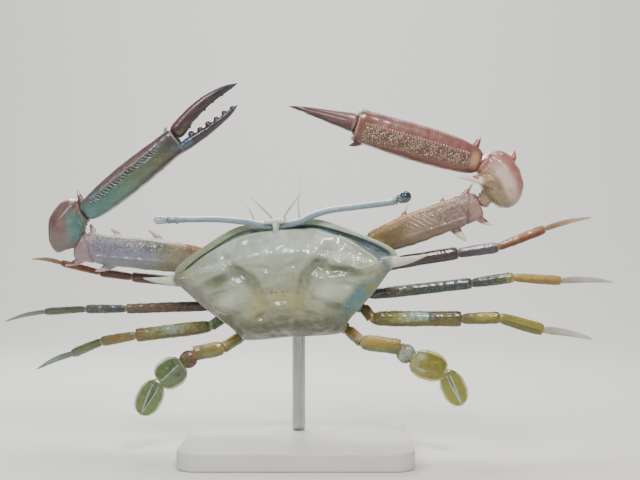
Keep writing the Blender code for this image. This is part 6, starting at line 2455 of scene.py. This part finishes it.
@dataclass
class Studio:
    """Pale floor that turns up into a backdrop, soft lights and the camera.

    Attributes:
        eye: Place of the camera, which looks level along +Y.
        lens: Focal length on the 36 mm wide sensor.
        floor: Half width, near edge, far edge and height of the floor.
    """

    eye: Triple = (10.1, -514.0, 95.7)
    lens: float = 64.66
    floor: tuple[float, float, float, float] = (1600.0, -900.0, 900.0, 1500.0)

    def build(self) -> None:
        """Make the camera, lights, world and floor."""
        camera = bpy.data.cameras.new("camera")
        camera.sensor_width = 36.0
        camera.lens = self.lens
        camera.clip_start = 0.01
        seat = add_object("camera", camera)
        seat.location = Vector(self.eye) * MM
        seat.rotation_euler = (math.radians(90.0), 0.0, 0.0)
        bpy.context.scene.camera = seat
        self.light("key", (120.0, -440.0, 480.0), 3.2, 130.0, "#FFF8F0")
        self.light("fill", (-330.0, -400.0, 400.0), 1.6, 150.0, "#F0F5FF")
        self.light("rim", (-120.0, 380.0, 420.0), 1.8, 260.0, "#FFFFFF")
        self.light("sweep", (0.0, 250.0, 900.0), 12.0, 700.0, "#FFFFFF", (0.0, 900.0, 300.0))
        world = bpy.data.worlds.new("studio")
        world.use_nodes = True
        feed(world.node_tree.nodes["Background"], {"Color": linear("#E4E8EC"), "Strength": 0.3})
        bpy.context.scene.world = world
        self.lay_floor()

    def light(self, name: str, at: Triple, power: float, size: float, tone: str,
              aim_at: Triple = (0.0, -14.0, 90.0)) -> None:
        """Soft square light.

        Args:
            name: Light's name.
            at: Its place.
            power: Watts.
            size: Length of one side.
            tone: Hex tone.
            aim_at: Place that it is turned to, by default the crab's middle.
        """
        lamp = bpy.data.lights.new(name, "AREA")
        lamp.energy = power
        lamp.size = size * MM
        lamp.color = linear(tone)[:3]
        thing = add_object(name, lamp)
        thing.location = Vector(at) * MM
        aim = Vector(aim_at) * MM - thing.location
        thing.rotation_euler = aim.to_track_quat("-Z", "Y").to_euler()

    def lay_floor(self) -> None:
        """Seamless sheet of paper: flat under the stand and curved up behind."""
        half, near, far, high = self.floor
        bend = 400.0
        a = np.linspace(0.0, 0.5 * math.pi, 24)
        turn = [(far - bend + bend * math.sin(t), bend * (1.0 - math.cos(t))) for t in a]
        line = [(near, 0.0)] + turn + [(far, high)]
        points = [(sx * half * MM, y * MM, z * MM) for y, z in line for sx in (-1.0, 1.0)]
        faces = [(2 * k, 2 * k + 1, 2 * k + 3, 2 * k + 2) for k in range(len(line) - 1)]
        mesh = bpy.data.meshes.new("backdrop")
        mesh.from_pydata(points, [], faces)
        mesh.shade_smooth()
        paper, _, shader = new_material("matt_studio_paper")
        feed(shader, {"Base Color": linear("#D9D8D4"), "Roughness": 0.9})
        mesh.materials.append(paper)
        floor = add_object("backdrop", mesh)


def main() -> None:
    """Build the crab, its stand and the studio."""
    logging.basicConfig(level=logging.INFO)
    body = BodyFrame()
    breast = Breast()
    pieces = [Carapace().build(body), Underside().build(body)]
    pieces += breast.build(body)
    pieces += EyeStalks().build(body)
    pieces += Feelers().build(body)
    for kind in ("leg2", "leg3", "leg4", "swim"):
        for side in Side:
            name = f"{kind}_{side.label}"
            pieces += Leg(name, steps_of(name), leg_finishes(name)).build(body, breast)
    for arm in claw_arms():
        pieces += arm.build(body, breast)
    pieces += Stand().build(body)
    for piece in pieces:
        piece.hand_over()
    Studio().build()
    bpy.context.view_layer.update()


if __name__ == "__main__":
    main()
